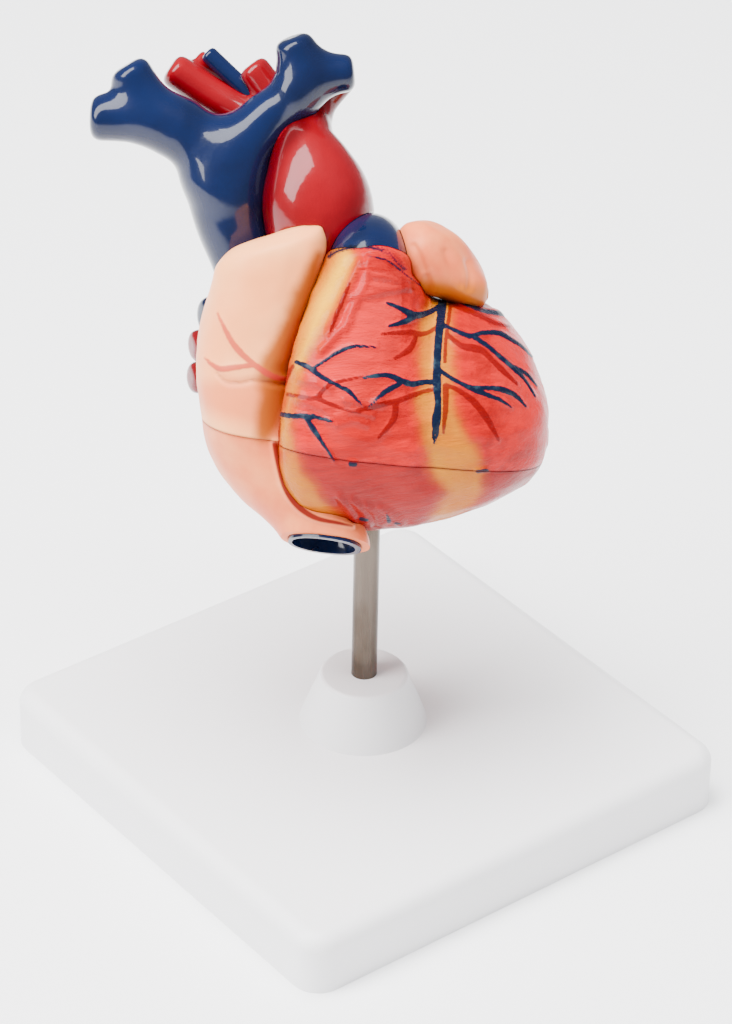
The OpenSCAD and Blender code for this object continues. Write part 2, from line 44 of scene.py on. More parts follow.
viewRight = np.array([0.792016, -0.610260, 0.017119])
viewUp = np.array([0.329958, 0.451486, 0.829028])
viewBack = np.array([-0.513652, -0.650955, 0.558945])
viewPlace = np.array([-0.554562, -0.702203, 0.688624])
viewFocus = 4074.885            # focal length in pixels of the 732 by 1024 frame
viewMiddle = (366.0, 512.0)


def makeCamera():
    data = bpy.data.cameras.new("camera")
    data.sensor_width = 36
    data.lens = viewFocus / 1024 * 36
    data.clip_start = 0.05
    camera = bpy.data.objects.new("camera", data)
    place = np.eye(4)
    place[:3, 0], place[:3, 1], place[:3, 2], place[:3, 3] = viewRight, viewUp, viewBack, viewPlace
    camera.matrix_world = Matrix(place.tolist())
    bpy.context.scene.collection.objects.link(camera)
    bpy.context.scene.camera = camera


makeCamera()


# Where points of the heart stand in the view, in pixels of the 732 by 1024 frame
def seen(points):
    away = points - viewPlace
    depth = -(away @ viewBack)
    return np.stack([viewMiddle[0] + viewFocus * (away @ viewRight) / depth,
                     viewMiddle[1] - viewFocus * (away @ viewUp) / depth], -1)


# ---- Stage --------------------------------------------------------------------

def link(obj):
    bpy.context.scene.collection.objects.link(obj)
    return obj


def areaLight(name, place, target, size, power, gloss=True):
    data = bpy.data.lights.new(name, "AREA")
    data.shape = "RECTANGLE"
    data.size, data.size_y = size
    data.energy = power
    light = link(bpy.data.objects.new(name, data))
    light.visible_glossy = gloss
    back = np.array(place, float) - np.array(target, float)
    back /= np.linalg.norm(back)
    side = np.cross([0, 0, 1], back)
    side /= np.linalg.norm(side)
    turn = np.eye(4)
    turn[:3, 0], turn[:3, 1], turn[:3, 2], turn[:3, 3] = side, np.cross(back, side), back, place
    light.matrix_world = Matrix(turn.tolist())


def makeStage():
    world = bpy.data.worlds.new("studio")
    world.use_nodes = True
    shade = world.node_tree.nodes["Background"]
    shade.inputs["Color"].default_value = (0.93, 0.95, 1.0, 1)
    shade.inputs["Strength"].default_value = 0.4
    bpy.context.scene.world = world
    mesh = bpy.data.meshes.new("floor")
    half = 6.0
    mesh.from_pydata([(-half, -half, 0), (half, -half, 0), (half, half, 0), (-half, half, 0)], [],
                     [(0, 1, 2, 3)])
    floor = link(bpy.data.objects.new("floor", mesh))
    floor.data.materials.append(floorPaint())
    heart = (0, 0, 0.12)
    # The gloss shows one tall soft box at the left; the other two only brighten
    areaLight("key", (-1.0, 0.25, 1.35), heart, (0.9, 2.2), 92)
    areaLight("fill", (0.63, -1.0, 1.56), heart, (1.6, 1.6), 26, False)
    areaLight("top", (-0.1, 0.1, 1.8), heart, (1.2, 1.2), 80, False)


# ---- Materials ----------------------------------------------------------------

class Shader:
    # A node tree with short calls for the nodes that the paints share

    def __init__(self, name):
        self.material = bpy.data.materials.new(name)
        self.material.use_nodes = True
        self.tree = self.material.node_tree
        self.main = self.tree.nodes["Principled BSDF"]
        self.place = self.node("ShaderNodeTexCoord").outputs["Object"]

    def node(self, kind, **settings):
        made = self.tree.nodes.new(kind)
        for key, value in settings.items():
            setattr(made, key, value)
        return made

    def put(self, socket, value):
        if isinstance(value, bpy.types.NodeSocket):
            self.tree.links.new(value, socket)
        elif isinstance(value, tuple) and len(value) == 3 and socket.type == "RGBA":
            socket.default_value = (*value, 1)
        else:
            socket.default_value = value

    def attribute(self, name):
        return self.node("ShaderNodeAttribute", attribute_name=name).outputs["Fac"]

    def math(self, operation, a, b=0.0, c=0.0):
        made = self.node("ShaderNodeMath", operation=operation)
        for socket, value in zip(made.inputs, (a, b, c)):
            self.put(socket, value)
        return made.outputs[0]

    # 1 where value is under low, 0 over high, smooth between them
    def under(self, value, low, high):
        made = self.node("ShaderNodeMapRange", interpolation_type="SMOOTHSTEP")
        for key, number in (("Value", value), ("From Min", low), ("From Max", high), ("To Min", 1.0),
                            ("To Max", 0.0)):
            self.put(made.inputs[key], number)
        return made.outputs[0]

    def noise(self, scale, detail=3.0, stretch=(1, 1, 1), turn=(0, 0, 0), rough=0.55, warp=0.0):
        shift = self.node("ShaderNodeMapping")
        self.put(shift.inputs["Vector"], self.place)
        self.put(shift.inputs["Rotation"], turn)
        squeeze = self.node("ShaderNodeMapping")
        self.put(squeeze.inputs["Vector"], shift.outputs[0])
        self.put(squeeze.inputs["Scale"], stretch)
        made = self.node("ShaderNodeTexNoise")
        self.put(made.inputs["Vector"], squeeze.outputs[0])
        self.put(made.inputs["Scale"], scale)
        self.put(made.inputs["Detail"], detail)
        self.put(made.inputs["Roughness"], rough)
        self.put(made.inputs["Distortion"], warp)
        return made.outputs["Fac"]

    def mix(self, share, a, b):
        made = self.node("ShaderNodeMix", data_type="RGBA")
        self.put(made.inputs[0], share)
        self.put(made.inputs[6], a)
        self.put(made.inputs[7], b)
        return made.outputs[2]

    def blend(self, share, a, b):
        made = self.node("ShaderNodeMix", data_type="FLOAT")
        self.put(made.inputs[0], share)
        self.put(made.inputs[2], a)
        self.put(made.inputs[3], b)
        return made.outputs[0]

    def bump(self, height, strength, depth, under=None):
        made = self.node("ShaderNodeBump")
        self.put(made.inputs["Height"], height)
        self.put(made.inputs["Strength"], strength)
        self.put(made.inputs["Distance"], depth)
        if under is not None:
            self.put(made.inputs["Normal"], under)
        return made.outputs[0]

    def finish(self, **values):
        for key, value in values.items():
            self.put(self.main.inputs[key.replace("_", " ")], value)
        return self.material


def floorPaint():
    s = Shader("floor")
    return s.finish(Base_Color=s.mix(s.noise(1.5), (0.93, 0.93, 0.94), (0.95, 0.95, 0.955)), Roughness=0.7,
                    Specular_IOR_Level=0.2)


# ---- Shapes -------------------------------------------------------------------

# The heart's own frame: the seam is z = 0, x runs to the tip, y to the back, in millimetres
heartTurn, heartLean, heartTilt, heartHeight = -40.3, 6.2, 20.5, 110.5
seamGap = 0.2
glueGap = 0.15
atriumWall = 3
cavaWall = 1.2
sleeveDiameter, sleeveLength = 11.6, 20
sleeveDepth = 25                # from the heart's place down to the sleeve's mouth
far = 300                       # past every piece of the heart


def rotation(axis, degrees):
    c, s = np.cos(np.radians(degrees)), np.sin(np.radians(degrees))
    a, b = [(1, 2), (2, 0), (0, 1)][axis]
    made = np.eye(3)
    made[a, a], made[a, b], made[b, a], made[b, b] = c, -s, s, c
    return made


heartAxes = rotation(2, heartTurn) @ rotation(1, heartLean) @ rotation(0, -heartTilt)
heartPlace = np.array([0, 0, heartHeight])
eyeInHeart = (viewPlace / mm - heartPlace) @ heartAxes


def fromHeart(points):
    return (points @ heartAxes.T + heartPlace) * mm


def toHeart(points):
    return (points / mm - heartPlace) @ heartAxes


def smooth(value, low, high):
    t = np.clip((value - low) / (high - low), 0, 1)
    return t * t * (3 - 2 * t)


# Cubic run through every station: count + 1 values from the first to the last
def run(stations, count):
    s = np.array(stations, float)
    last = len(s) - 1
    v = np.linspace(0, last, count + 1)
    i = np.minimum(v.astype(int), last - 1)
    t = (v - i)[:, None]
    a, b, c, d = s[np.maximum(i - 1, 0)], s[i], s[i + 1], s[np.minimum(i + 2, last)]
    return 0.5 * (2 * b + (c - a) * t + (2 * a - 5 * b + 4 * c - d) * t ** 2
                  + (3 * b - a - 3 * c + d) * t ** 3)


class Form:
    # A closed skin in the heart's frame: points, four-sided and three-sided faces

    def __init__(self, points, quads, tris=None):
        self.points = np.asarray(points, float)
        self.quads = np.asarray(quads, np.int64).reshape(-1, 4)
        self.tris = np.zeros((0, 3), np.int64) if tris is None else np.asarray(tris, np.int64).reshape(-1, 3)
        if self.volume() < 0:
            self.quads, self.tris = self.quads[:, ::-1], self.tris[:, ::-1]

    def triangles(self):
        q = self.quads
        return np.concatenate([q[:, [0, 1, 2]], q[:, [0, 2, 3]], self.tris])

    def volume(self):
        a, b, c = (self.points[self.triangles()[:, k]] for k in range(3))
        return np.einsum("ij,ij->i", a, np.cross(b, c)).sum() / 6

    def normals(self):
        t = self.triangles()
        a, b, c = (self.points[t[:, k]] for k in range(3))
        face = np.cross(b - a, c - a)
        total = np.zeros_like(self.points)
        for k in range(3):
            np.add.at(total, t[:, k], face)
        return total / np.maximum(np.linalg.norm(total, axis=1), 1e-12)[:, None]

    def grown(self, reach):
        return Form(self.points + self.normals() * reach, self.quads, self.tris)

    def shaped(self, relief):
        normals = self.normals()
        return Form(self.points + normals * relief(self.points, normals)[:, None], self.quads, self.tris)


# Rings of points, closed around and domed at both ends
def lofted(rings, dome=0.6, steps=6):
    def cap(ring, inner):
        middle = ring.mean(0)
        way = middle - inner.mean(0)
        way /= np.linalg.norm(way)
        angles = np.linspace(0, np.pi / 2, steps + 1)[1:-1]
        return [middle + (ring - middle) * np.cos(a) + way * dome * np.sin(a)
                for a in angles], middle + way * dome

    first, start = cap(rings[0], rings[1])
    final, stop = cap(rings[-1], rings[-2])
    rings = np.concatenate([np.array(first[::-1]), rings, np.array(final)])
    n, m = rings.shape[:2]
    i, j = np.meshgrid(np.arange(n - 1), np.arange(m), indexing="ij")
    k = (j + 1) % m
    quads = np.stack([i * m + j, i * m + k, (i + 1) * m + k, (i + 1) * m + j], -1)
    j = np.arange(m)
    k = (j + 1) % m
    low, high = np.full(m, n * m), np.full(m, n * m + 1)
    tris = np.concatenate([np.stack([low, k, j], -1), np.stack([high, (n - 1) * m + j, (n - 1) * m + k], -1)])
    return Form(np.concatenate([rings.reshape(-1, 3), [start, stop]]), quads, tris)


# Egg-shaped rings about each station: p = sign(cos t)|cos t|^power along a, q = sin likewise along b
def eggForm(stations, laid, n, m, grow=0.0, power=0.92, dome=0.6):
    s = run(stations, n)
    t = np.linspace(0, 2 * np.pi, m, endpoint=False)
    p = np.sign(np.cos(t)) * np.abs(np.cos(t)) ** power
    q = np.sign(np.sin(t)) * np.abs(np.sin(t)) ** power
    one, none = np.ones(n + 1), np.zeros(n + 1)
    centre = s[:, :3].copy()
    centre[0, 0 if laid else 2] -= grow
    centre[-1, 0 if laid else 2] += grow
    if laid:
        a, b = np.stack([s[:, 7], one, none], -1), np.stack([none, none, one], -1)
    else:
        a, b = np.stack([one, none, s[:, 7]], -1), np.stack([none, one, s[:, 8]], -1)
    wide = np.where(p[None, :] < 0, s[:, 3:4], s[:, 4:5])
    tall = np.where(q[None, :] < 0, s[:, 5:6], s[:, 6:7])
    wide, tall = np.maximum(wide, 0.3) + grow, np.maximum(tall, 0.3) + grow
    rings = centre[:, None] + a[:, None] * (p * wide)[..., None] + b[:, None] * (q * tall)[..., None]
    return lofted(rings, dome)


# Distance to a round tube along a route of [x, y, z, radius], with flat ends rounded at their edges.
# Between two stations a and b: |p - a - t (b - a)| less the radius, t = (p - a)(b - a) / |b - a|^2 in 0 to 1
def tubeField(route, steps=8, rounded=0.6, proud=0.22):
    line = run(route, steps * (len(route) - 1))
    ends = []
    for here, inner in ((line[0], line[1]), (line[-1], line[-2])):
        way = here[:3] - inner[:3]
        way /= np.linalg.norm(way)
        ends.append((here[:3] + way * here[3] * proud, way, here[3] * rounded))

    def field(p):
        best = np.full(len(p), 1e9)
        square = np.einsum("ij,ij->i", p, p)
        for a, b in zip(line[:-1], line[1:]):
            along = b[:3] - a[:3]
            length = along @ along
            ahead = p @ along - a[:3] @ along
            t = np.clip(ahead / length, 0, 1)
            away = square - 2 * (p @ a[:3]) + a[:3] @ a[:3] + t * (t * length - 2 * ahead)
            np.minimum(best, np.sqrt(np.maximum(away, 0)) - a[3] - t * (b[3] - a[3]), out=best)
        for place, way, k in ends:
            best = -joined([-best, way @ place - p @ way], k)
        return best
    reach = line[:, 3:4] * 1.3 + 1
    return field, (line[:, :3] - reach).min(0), (line[:, :3] + reach).max(0)


# Union of distances, with a fillet of about k
def joined(fields, k):
    best = fields[0]
    for other in fields[1:]:
        h = np.maximum(k - np.abs(best - other), 0) / k
        best = np.minimum(best, other) - h * h * k / 4
    return best


# Surface net: one point in each cell that the surface crosses, then drawn onto it by the field's slope
def netted(field, low, high, step):
    coarse = 4
    many = np.ceil((high - low) / (step * coarse)).astype(int) + 1
    count = many * coarse
    axes = [low[k] + step * np.arange(count[k]) for k in range(3)]
    middles = [low[k] + step * (coarse * np.arange(many[k]) + (coarse - 1) / 2) for k in range(3)]
    rough = field(np.stack(np.meshgrid(*middles, indexing="ij"), -1).reshape(-1, 3)).reshape(many)
    value = rough.repeat(coarse, 0).repeat(coarse, 1).repeat(coarse, 2)
    near = np.nonzero(np.abs(value) < step * coarse * 1.3)
    value[near] = field(np.stack([axes[k][near[k]] for k in range(3)], -1))
    inside = value < 0
    cells = tuple(c - 1 for c in count)
    total, hits = np.zeros((*cells, 3)), np.zeros(cells)
    corner = np.array([[x, y, z] for x in (0, 1) for y in (0, 1) for z in (0, 1)])

    def at(array, c):
        return array[c[0]:c[0] + cells[0], c[1]:c[1] + cells[1], c[2]:c[2] + cells[2]]
    for a in corner:
        for axis in range(3):
            if a[axis]:
                continue
            b = a.copy()
            b[axis] = 1
            va, vb = at(value, a), at(value, b)
            cross = at(inside, a) != at(inside, b)
            t = np.where(cross, va / np.where(cross, va - vb, 1), 0)
            total += (a + t[..., None] * (b - a)) * cross[..., None]
            hits += cross
    used = hits > 0
    number = np.full(cells, -1)
    number[used] = np.arange(used.sum())
    places = np.argwhere(used)
    points = low + step * (places + total[used] / hits[used][:, None])
    quads = []
    for axis in range(3):
        u, v = (axis + 1) % 3, (axis + 2) % 3
        lower = [slice(1, -1)] * 3
        lower[axis] = slice(0, -1)
        upper = list(lower)
        upper[axis] = slice(1, None)
        a, b = inside[tuple(lower)], inside[tuple(upper)]
        edge = np.argwhere(a != b)
        start = edge + 1
        start[:, axis] -= 1
        out = a[tuple(edge.T)]
        ring = []
        for du, dv in ((-1, -1), (0, -1), (0, 0), (-1, 0)):
            c = start.copy()
            c[:, u] += du
            c[:, v] += dv
            ring.append(number[tuple(c.T)])
        ring = np.stack(ring, -1)
        ring[~out] = ring[~out][:, ::-1]
        quads.append(ring)
    nudge = 0.05
    for _ in range(2):
        here = field(points)
        slope = np.stack([field(points + d) - here for d in np.eye(3) * nudge], -1) / nudge
        points = points - slope * (here / np.maximum((slope ** 2).sum(1), 0.25))[:, None]
    return Form(points, np.concatenate(quads))


def tubes(routes, fillet=3.0, step=0.7, steps=8):
    made = [tubeField(r, steps) for r in routes]
    low, high = np.min([m[1] for m in made], 0) - 1, np.max([m[2] for m in made], 0) + 1
    return netted(lambda p: joined([m[0](p) for m in made], fillet), low, high, step)


def block(low, high):
    x, y, z = zip(low, high)
    points = [(x[i], y[j], z[k]) for i in (0, 1) for j in (0, 1) for k in (0, 1)]
    return Form(points, [(0, 1, 3, 2), (4, 6, 7, 5), (0, 4, 5, 1), (2, 3, 7, 6), (0, 2, 6, 4), (1, 5, 7, 3)])


def cylinder(start, stop, radius, m=64):
    start, stop = np.array(start, float), np.array(stop, float)
    way = (stop - start) / np.linalg.norm(stop - start)
    side = np.cross(way, [0.3, 0.9, 0.2])
    side /= np.linalg.norm(side)
    t = np.linspace(0, 2 * np.pi, m, endpoint=False)[:, None]
    ring = radius * (np.cos(t) * side + np.sin(t) * np.cross(way, side))
    j = np.arange(m)
    k = (j + 1) % m
    points = np.concatenate([start + ring, stop + ring, [start, stop]])
    tris = np.concatenate([np.stack([np.full(m, 2 * m), k, j], -1),
                           np.stack([np.full(m, 2 * m + 1), m + j, m + k], -1)])
    return Form(points, np.stack([j, k, m + k, m + j], -1), tris)


# ---- Objects ------------------------------------------------------------------

def build(name, form, paints=(), index=0):
    sizes = np.concatenate([np.full(len(form.quads), 4), np.full(len(form.tris), 3)])
    mesh = bpy.data.meshes.new(name)
    mesh.vertices.add(len(form.points))
    mesh.vertices.foreach_set("co", fromHeart(form.points).ravel())
    mesh.loops.add(int(sizes.sum()))
    mesh.loops.foreach_set("vertex_index", np.concatenate([form.quads.ravel(), form.tris.ravel()]))
    mesh.polygons.add(len(sizes))
    mesh.polygons.foreach_set("loop_start", np.concatenate([[0], np.cumsum(sizes)[:-1]]))
    mesh.polygons.foreach_set("material_index", np.full(len(sizes), index))
    mesh.polygons.foreach_set("use_smooth", np.ones(len(sizes), bool))
    for paint in paints:
        mesh.materials.append(paint)
    mesh.update(calc_edges=True)
    return link(bpy.data.objects.new(name, mesh))


def discard(obj):
    data = obj.data
    bpy.data.objects.remove(obj)
    bpy.data.meshes.remove(data)


# Adds forms to an object, cuts forms out of it and keeps what is inside the keepers, in that order
def cut(target, cutters=(), keepers=(), added=()):
    tools = []
    for operation, group in (("UNION", added), ("DIFFERENCE", cutters), ("INTERSECT", keepers)):
        for item in group:
            shape, index = item if isinstance(item, tuple) else (item, 0)
            tool = build(target.name + "_tool", shape, list(target.data.materials), index)
            tools.append(tool)
            step = target.modifiers.new("cut", "BOOLEAN")
            step.operation, step.solver, step.object = operation, "MANIFOLD", tool
    graph = bpy.context.evaluated_depsgraph_get()
    mesh = bpy.data.meshes.new_from_object(target.evaluated_get(graph))
    target.modifiers.clear()
    target.data, old = mesh, target.data
    mesh.name = target.name
    if not old.users:
        bpy.data.meshes.remove(old)
    for tool in tools:
        discard(tool)
    if not mesh.polygons:
        raise RuntimeError(target.name + " came out empty")
    return target


def carve(name, form, cutters=(), keepers=(), added=(), paints=()):
    made = build(name, form, paints)
    return cut(made, cutters, keepers, added) if cutters or keepers or added else made


# The part of a carved object on one side of the seam, in its own paints
def halved(name, whole, half, paints):
    made = link(bpy.data.objects.new(name, whole.data.copy()))
    for index, one in enumerate(paints):
        made.data.materials[index] = one
    return cut(made, keepers=[half])


def meshPoints(obj):
    points = np.empty(len(obj.data.vertices) * 3)
    obj.data.vertices.foreach_get("co", points)
    normals = np.empty(len(obj.data.vertices) * 3)
    obj.data.vertices.foreach_get("normal", normals)
    return points.reshape(-1, 3), normals.reshape(-1, 3)


def store(obj, name, values):
    layer = obj.data.attributes.new(name, "FLOAT", "POINT")
    layer.data.foreach_set("value", values.astype(np.float32))


# Sharp where two faces meet at more than the angle, smooth elsewhere
def sharpen(obj, degrees=40):
    obj.data.set_sharp_from_angle(angle=np.radians(degrees))


def settle(obj, body, slot, *nodes):
    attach(obj, body)
    if nodes:
        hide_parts(*nodes)
    print(obj.name, len(obj.data.polygons))


# Distance in millimetres from each point to the nearest stroke, less the stroke's half width.
# Strokes are [(u, v, half width)] in pixels of the view.
def strokeGap(points, normals, strokes, pixel=1 / 3.8, smoothing=5):
    place = seen(fromHeart(points))
    best = np.full(len(place), 1e6)
    for stroke in strokes:
        line = run(stroke, smoothing * (len(stroke) - 1)) if len(stroke) > 2 else np.array(stroke, float)
        low, high = line[:, :2].min(0) - 30, line[:, :2].max(0) + 30
        near = np.nonzero(((place > low) & (place < high)).all(1))[0]
        p = place[near]
        gap = np.full(len(p), 1e6)
        for a, b in zip(line[:-1], line[1:]):
            along = b[:2] - a[:2]
            t = np.clip((p - a[:2]) @ along / max(along @ along, 1e-9), 0, 1)
            gap = np.minimum(gap, np.linalg.norm(p - a[:2] - t[:, None] * along, axis=1)
                             - (a[2] + t * (b[2] - a[2])))
        best[near] = np.minimum(best[near], gap)
    facing = (normals * (eyeInHeart - points)).sum(1) / np.linalg.norm(eyeInHeart - points, axis=1)
    gap = np.minimum(best * pixel, 20)
    return gap + 12 * (1 - smooth(facing, -0.12, 0.1))


# Slow ripples: a seeded sum of cosines, about -1 to 1
def ripple(points, size, seed, count=18, stretch=(1, 1, 1)):
    random = np.random.default_rng(seed)
    ways = random.normal(size=(count, 3))
    ways *= (2 * np.pi / size * random.uniform(0.6, 1.5, count) / np.linalg.norm(ways, axis=1))[:, None]
    phase = random.uniform(0, 2 * np.pi, count)
    return np.cos((points * np.array(stretch)) @ ways.T + phase).sum(1) / np.sqrt(count * 2)


# The form of a finished object, for use as a tool
def formOf(obj):
    obj.data.calc_loop_triangles()
    points, _ = meshPoints(obj)
    tris = np.empty(len(obj.data.loop_triangles) * 3, np.int32)
    obj.data.loop_triangles.foreach_get("vertices", tris)
    discard(obj)
    return Form(toHeart(points), np.zeros((0, 4)), tris)


def auricleRelief(points, normals):
    crease = strokeGap(points, normals, auricleCreases)
    return 0.4 * ripple(points, 11, 31) - 0.6 * (1 - smooth(crease, -0.4, 1.6))


# ---- Stations and routes -------------------------------------------------------

# As in the part's source, but for a slimmer shoulder on the ascending aorta and the
# ends of the first two lung veins, which reach 2 mm further out

ventricleLine = [
    [-19.5, -5, 9, 8, 7, 9, 11, 0.3], [-18.2, -5, 9, 18, 14, 19, 23, 0.3],
    [-15, -5, 9, 26, 21, 28.5, 33.5, 0.3], [-10, -5, 9, 30, 25, 32.5, 37.5, 0.3],
    [-4, -4.5, 9, 32, 27.5, 34, 38, 0.28], [4, -4, 9, 33, 28.5, 33, 34, 0.25],
    [12, -3.5, 8.5, 32, 28.5, 31, 30.5, 0.2], [21, -3.5, 8, 30, 27.5, 27.5, 31, 0.15],
    [30, -4, 7.5, 26.5, 24, 22.5, 28, 0.1], [37, -4.5, 7, 21, 19.5, 17.5, 22.5, 0.05],
    [42.2, -5, 6.5, 15, 14, 12.5, 15, 0], [45, -5, 6, 9, 8, 7.5, 8.5, 0], [46, -5, 6, 3, 3, 3, 3, 0]]
rightAtriumLine = [
    [-8, -21, -25.5, 11.6, 11.6, 7.5, 8, 0, -0.56], [-10.5, -18.5, -22.5, 13, 13, 9, 10, 0, -0.5],
    [-17.5, -14, -16, 16.5, 15, 12, 14, 0, -0.4], [-25, -9, -8, 16, 12, 16, 18, 0, -0.2],
    [-30, -6, 2, 14.5, 12, 19, 19, 0, 0], [-31, -5, 12, 16, 11.5, 19.5, 19, 0, 0],
    [-31, -5.5, 22, 16.2, 11, 18, 17, 0, 0], [-30.5, -8, 31, 15.8, 11, 15.5, 14, 0.08, 0],
    [-30.2, -11, 39, 15.5, 11.6, 12, 10.5, 0.2, 0], [-30, -13, 45.4, 15.2, 11.6, 9.5, 8.5, 0.3, 0],
    [-29.5, -14, 49.5, 13.4, 10.4, 7.5, 7, 0.36, 0], [-29, -14, 51.4, 10.4, 8.8, 5, 5, 0.38, 0],
    [-28.5, -14, 52.4, 5, 5, 2.5, 2.5, 0.4, 0]]
leftAtriumLine = [
    [-6, 22, -15, 6, 6, 4, 4, 0, 0], [-6, 22, -12, 14, 14, 9, 8, 0, 0], [-6, 22, -3, 20, 21, 14, 13, 0, 0],
    [-6, 22, 10, 23, 24, 16, 16, 0, 0], [-5, 22, 22, 21, 23, 15, 15, 0, 0],
    [-3, 22, 31, 15, 18, 11, 11, 0, 0],
    [-2, 22, 35, 7, 8, 5, 5, 0, 0]]
leftAuricleLine = [
    [0.2, -7, 53, 3, 3, 3, 2.5, 0], [2.5, -7, 52, 6.5, 7, 6, 5.6, 0], [8, -7, 49.5, 9, 11, 9, 8.8, 0],
    [14.5, -5, 46.5, 9, 13, 8, 9, 0], [20.5, -3, 43, 8, 12, 5.5, 7, 0], [24, -2, 41.5, 6, 8, 3.5, 4.2, 0],
    [25.2, -2, 41, 2.5, 3, 1.5, 1.8, 0]]
rightChamberLine = [
    [-18, -14, 1, 4, 4, 5, 6, 0.5], [-15, -14, 2, 8, 8, 10, 13, 0.5], [-8, -15.5, 4, 11, 9.5, 15, 26, 0.4],
    [0, -17.5, 3, 11, 8, 15.5, 24, 0.3], [8, -20, 2, 8.5, 6, 12.5, 13, 0.2],
    [13.5, -21.5, 1, 5, 4, 8, 8, 0.2],
    [16.5, -22, 0.5, 2, 2, 3, 3, 0.2]]
leftChamberLine = [
    [8, 12, 3, 3, 3, 4, 5, 0.5], [10, 11, 3, 7, 7, 9, 13, 0.5], [16, 7.5, 3, 10, 9.5, 12, 19, 0.4],
    [23, 3, 3, 10, 9.5, 12, 15, 0.3], [30, -1, 3, 8, 7.5, 9.5, 11, 0.2], [35, -4, 3, 5, 4.5, 6, 7, 0.1],
    [37, -5, 3, 2, 2, 2.5, 3, 0]]
cavaLine = [
    [-8, -21.6, -26.4, 9.5, 9.5, 6.9, 6.9, 0, -0.56], [-8.6, -19.6, -23, 9.3, 9.3, 6.7, 6.7, 0, -0.56],
    [-10, -17.6, -19.6, 8.5, 8.5, 6, 6, 0, -0.54], [-11.5, -16.2, -17.2, 6, 6, 4.4, 4.4, 0, -0.5]]
ascendingRoute = [
    [-12, 2, 34, 10], [-18, 0.5, 46, 13], [-21, 0, 57, 14.4], [-23.4, 0, 64.5, 11.8],
    [-26.4, 3, 71.6, 8.4], [-28.5, 10, 76, 8.3], [-29, 19, 75, 7.8], [-25, 27, 67, 7.5],
    [-20, 32, 56, 7.2], [-16, 35, 45, 7], [-14, 37, 35, 6.8]]
arteryRoutes = [
    [[-29, 9, 75.5, 4.8], [-40, 14, 76, 4.7], [-52, 17, 80, 4.7], [-63, 17, 85.4, 4.5]],
    [[-29, 15, 77, 2.8], [-40, 20, 79, 2.6], [-50, 22, 84, 2.5], [-57, 22, 88.5, 2.4]],
    [[-27, 12, 78, 4.4], [-33, 13.5, 80, 4.2], [-38, 14.5, 84.5, 4.2], [-42.5, 15, 89, 4.1]],
    [[-26, 12, 78, 4], [-22.5, 12, 84, 3.8], [-18.5, 11, 90, 3.6]]]
smallVeinRoute = [[-40, 15, 80.5, 2.2], [-46, 16.5, 84.5, 2.3], [-54.5, 18, 90.5, 2.3]]
neckRoute = [[-1, -11, 18, 17], [-3.5, -13.5, 31, 14.6], [-5.8, -15.4, 41, 11.6], [-6.4, -14, 46.6, 10.9]]
trunkRoute = [
    [-6, -16, 41, 9.8], [-6.5, -13.5, 47, 10], [-6.5, -7, 49.5, 9.2], [-6.5, 1, 48, 8.6],
    [-6.5, 9, 44.5, 7.8], [-7, 16, 41, 7]]
rightBranchRoute = [[-7, 15, 42, 6.3], [-14, 21, 36, 6.2], [-26, 22, 29, 6], [-37, 18, 24, 5.8],
                    [-46, 13, 22, 5.6]]
leftBranchRoute = [[-5, 14, 43, 6], [3, 21, 41, 5.8], [10, 28, 37, 5.6], [15, 34, 33, 5.4]]
upperVeinRoute = [
    [-36, 1, 31, 7.2], [-38.5, 3, 40, 8], [-42.5, 4, 50, 9.6], [-46, 5, 59.5, 10.4],
    [-51.5, 5.5, 67, 9], [-60, 6, 71.5, 7], [-70.5, 6, 72.6, 6.1], [-81, 6, 71.8, 6]]
veinRightRoute = [
    [-45, 5, 58, 9.6], [-42, 5, 69, 8.6], [-37, 5, 77, 7.2], [-31.5, 4.5, 83.5, 6.4],
    [-29, 4, 90, 5.8], [-33, 3.5, 98.5, 5]]
veinStubRoutes = [
    [[-60, 6, 72.5, 6.4], [-67, 6, 77, 5.7], [-74, 6, 85.5, 5.3]],
    [[-31, 4.5, 86, 5.8], [-25, 4.5, 90.2, 5.2], [-17.3, 4.5, 92.3, 4.9]]]
lungVeinRoutes = [
    [[-20, 22, 17, 4.6], [-33, 22, 16, 4.4], [-48.3, 15.4, 13.6, 4.3]],
    [[-18, 23, 7, 4.6], [-32, 23, 6.5, 4.4], [-47.6, 16.2, 5, 4.3]],
    [[10, 26, 22, 4.6], [18, 33, 23, 4.4], [24, 39, 24, 4.3]],
    [[10, 26, 9, 4.6], [18, 34, 9, 4.4], [24, 41, 10, 4.3]]]
outletRoutes = [
    [[12, 8, 12, 7], [3, 6, 23, 6.6], [-6, 3.5, 31, 7]],
    [[-7, -15.5, 20, 7], [-6.4, -15.6, 28, 7.2], [-6, -15.8, 35, 7.2]]]
muscleRoutes = [
    [[32, 0, -8.5, 3.4], [27, 1.5, -5.8, 2.9], [21.5, 4.5, -3.6, 1.8]],
    [[24, 11, -8.5, 3], [20, 9, -6.2, 2.6], [16.8, 10, -4.4, 1.5]],
    [[9, -25, -10, 3.2], [4, -21.5, -7, 2.7], [-1.5, -18.5, -4.6, 1.7]]]
cordEnds = [
    [[12.9, 8.6, -3.4], [10.8, 7.7, -1.85]], [[14, 10.9, -3.6], [13.6, 12.9, -2.05]],
    [[-9.4, -15.5, -3.4], [-11.8, -17.6, -1.9]]]
lastEndsUpper = [[-8.4, -10.6, 6.3], [-10.7, -20.3, 6.3]]
tricuspid = dict(centre=(-19, -13, 3), way=(1, -0.25, 0), radius=8.5, length=9, cusps=3)
mitral = dict(centre=(5, 14.5, 2), way=(0.85, -0.5, 0), radius=7.5, length=9, cusps=2)
aorticSeat = dict(centre=(-4.6, 3.9, 29.6), way=(-0.75, -0.2, 0.63), radius=6.6)
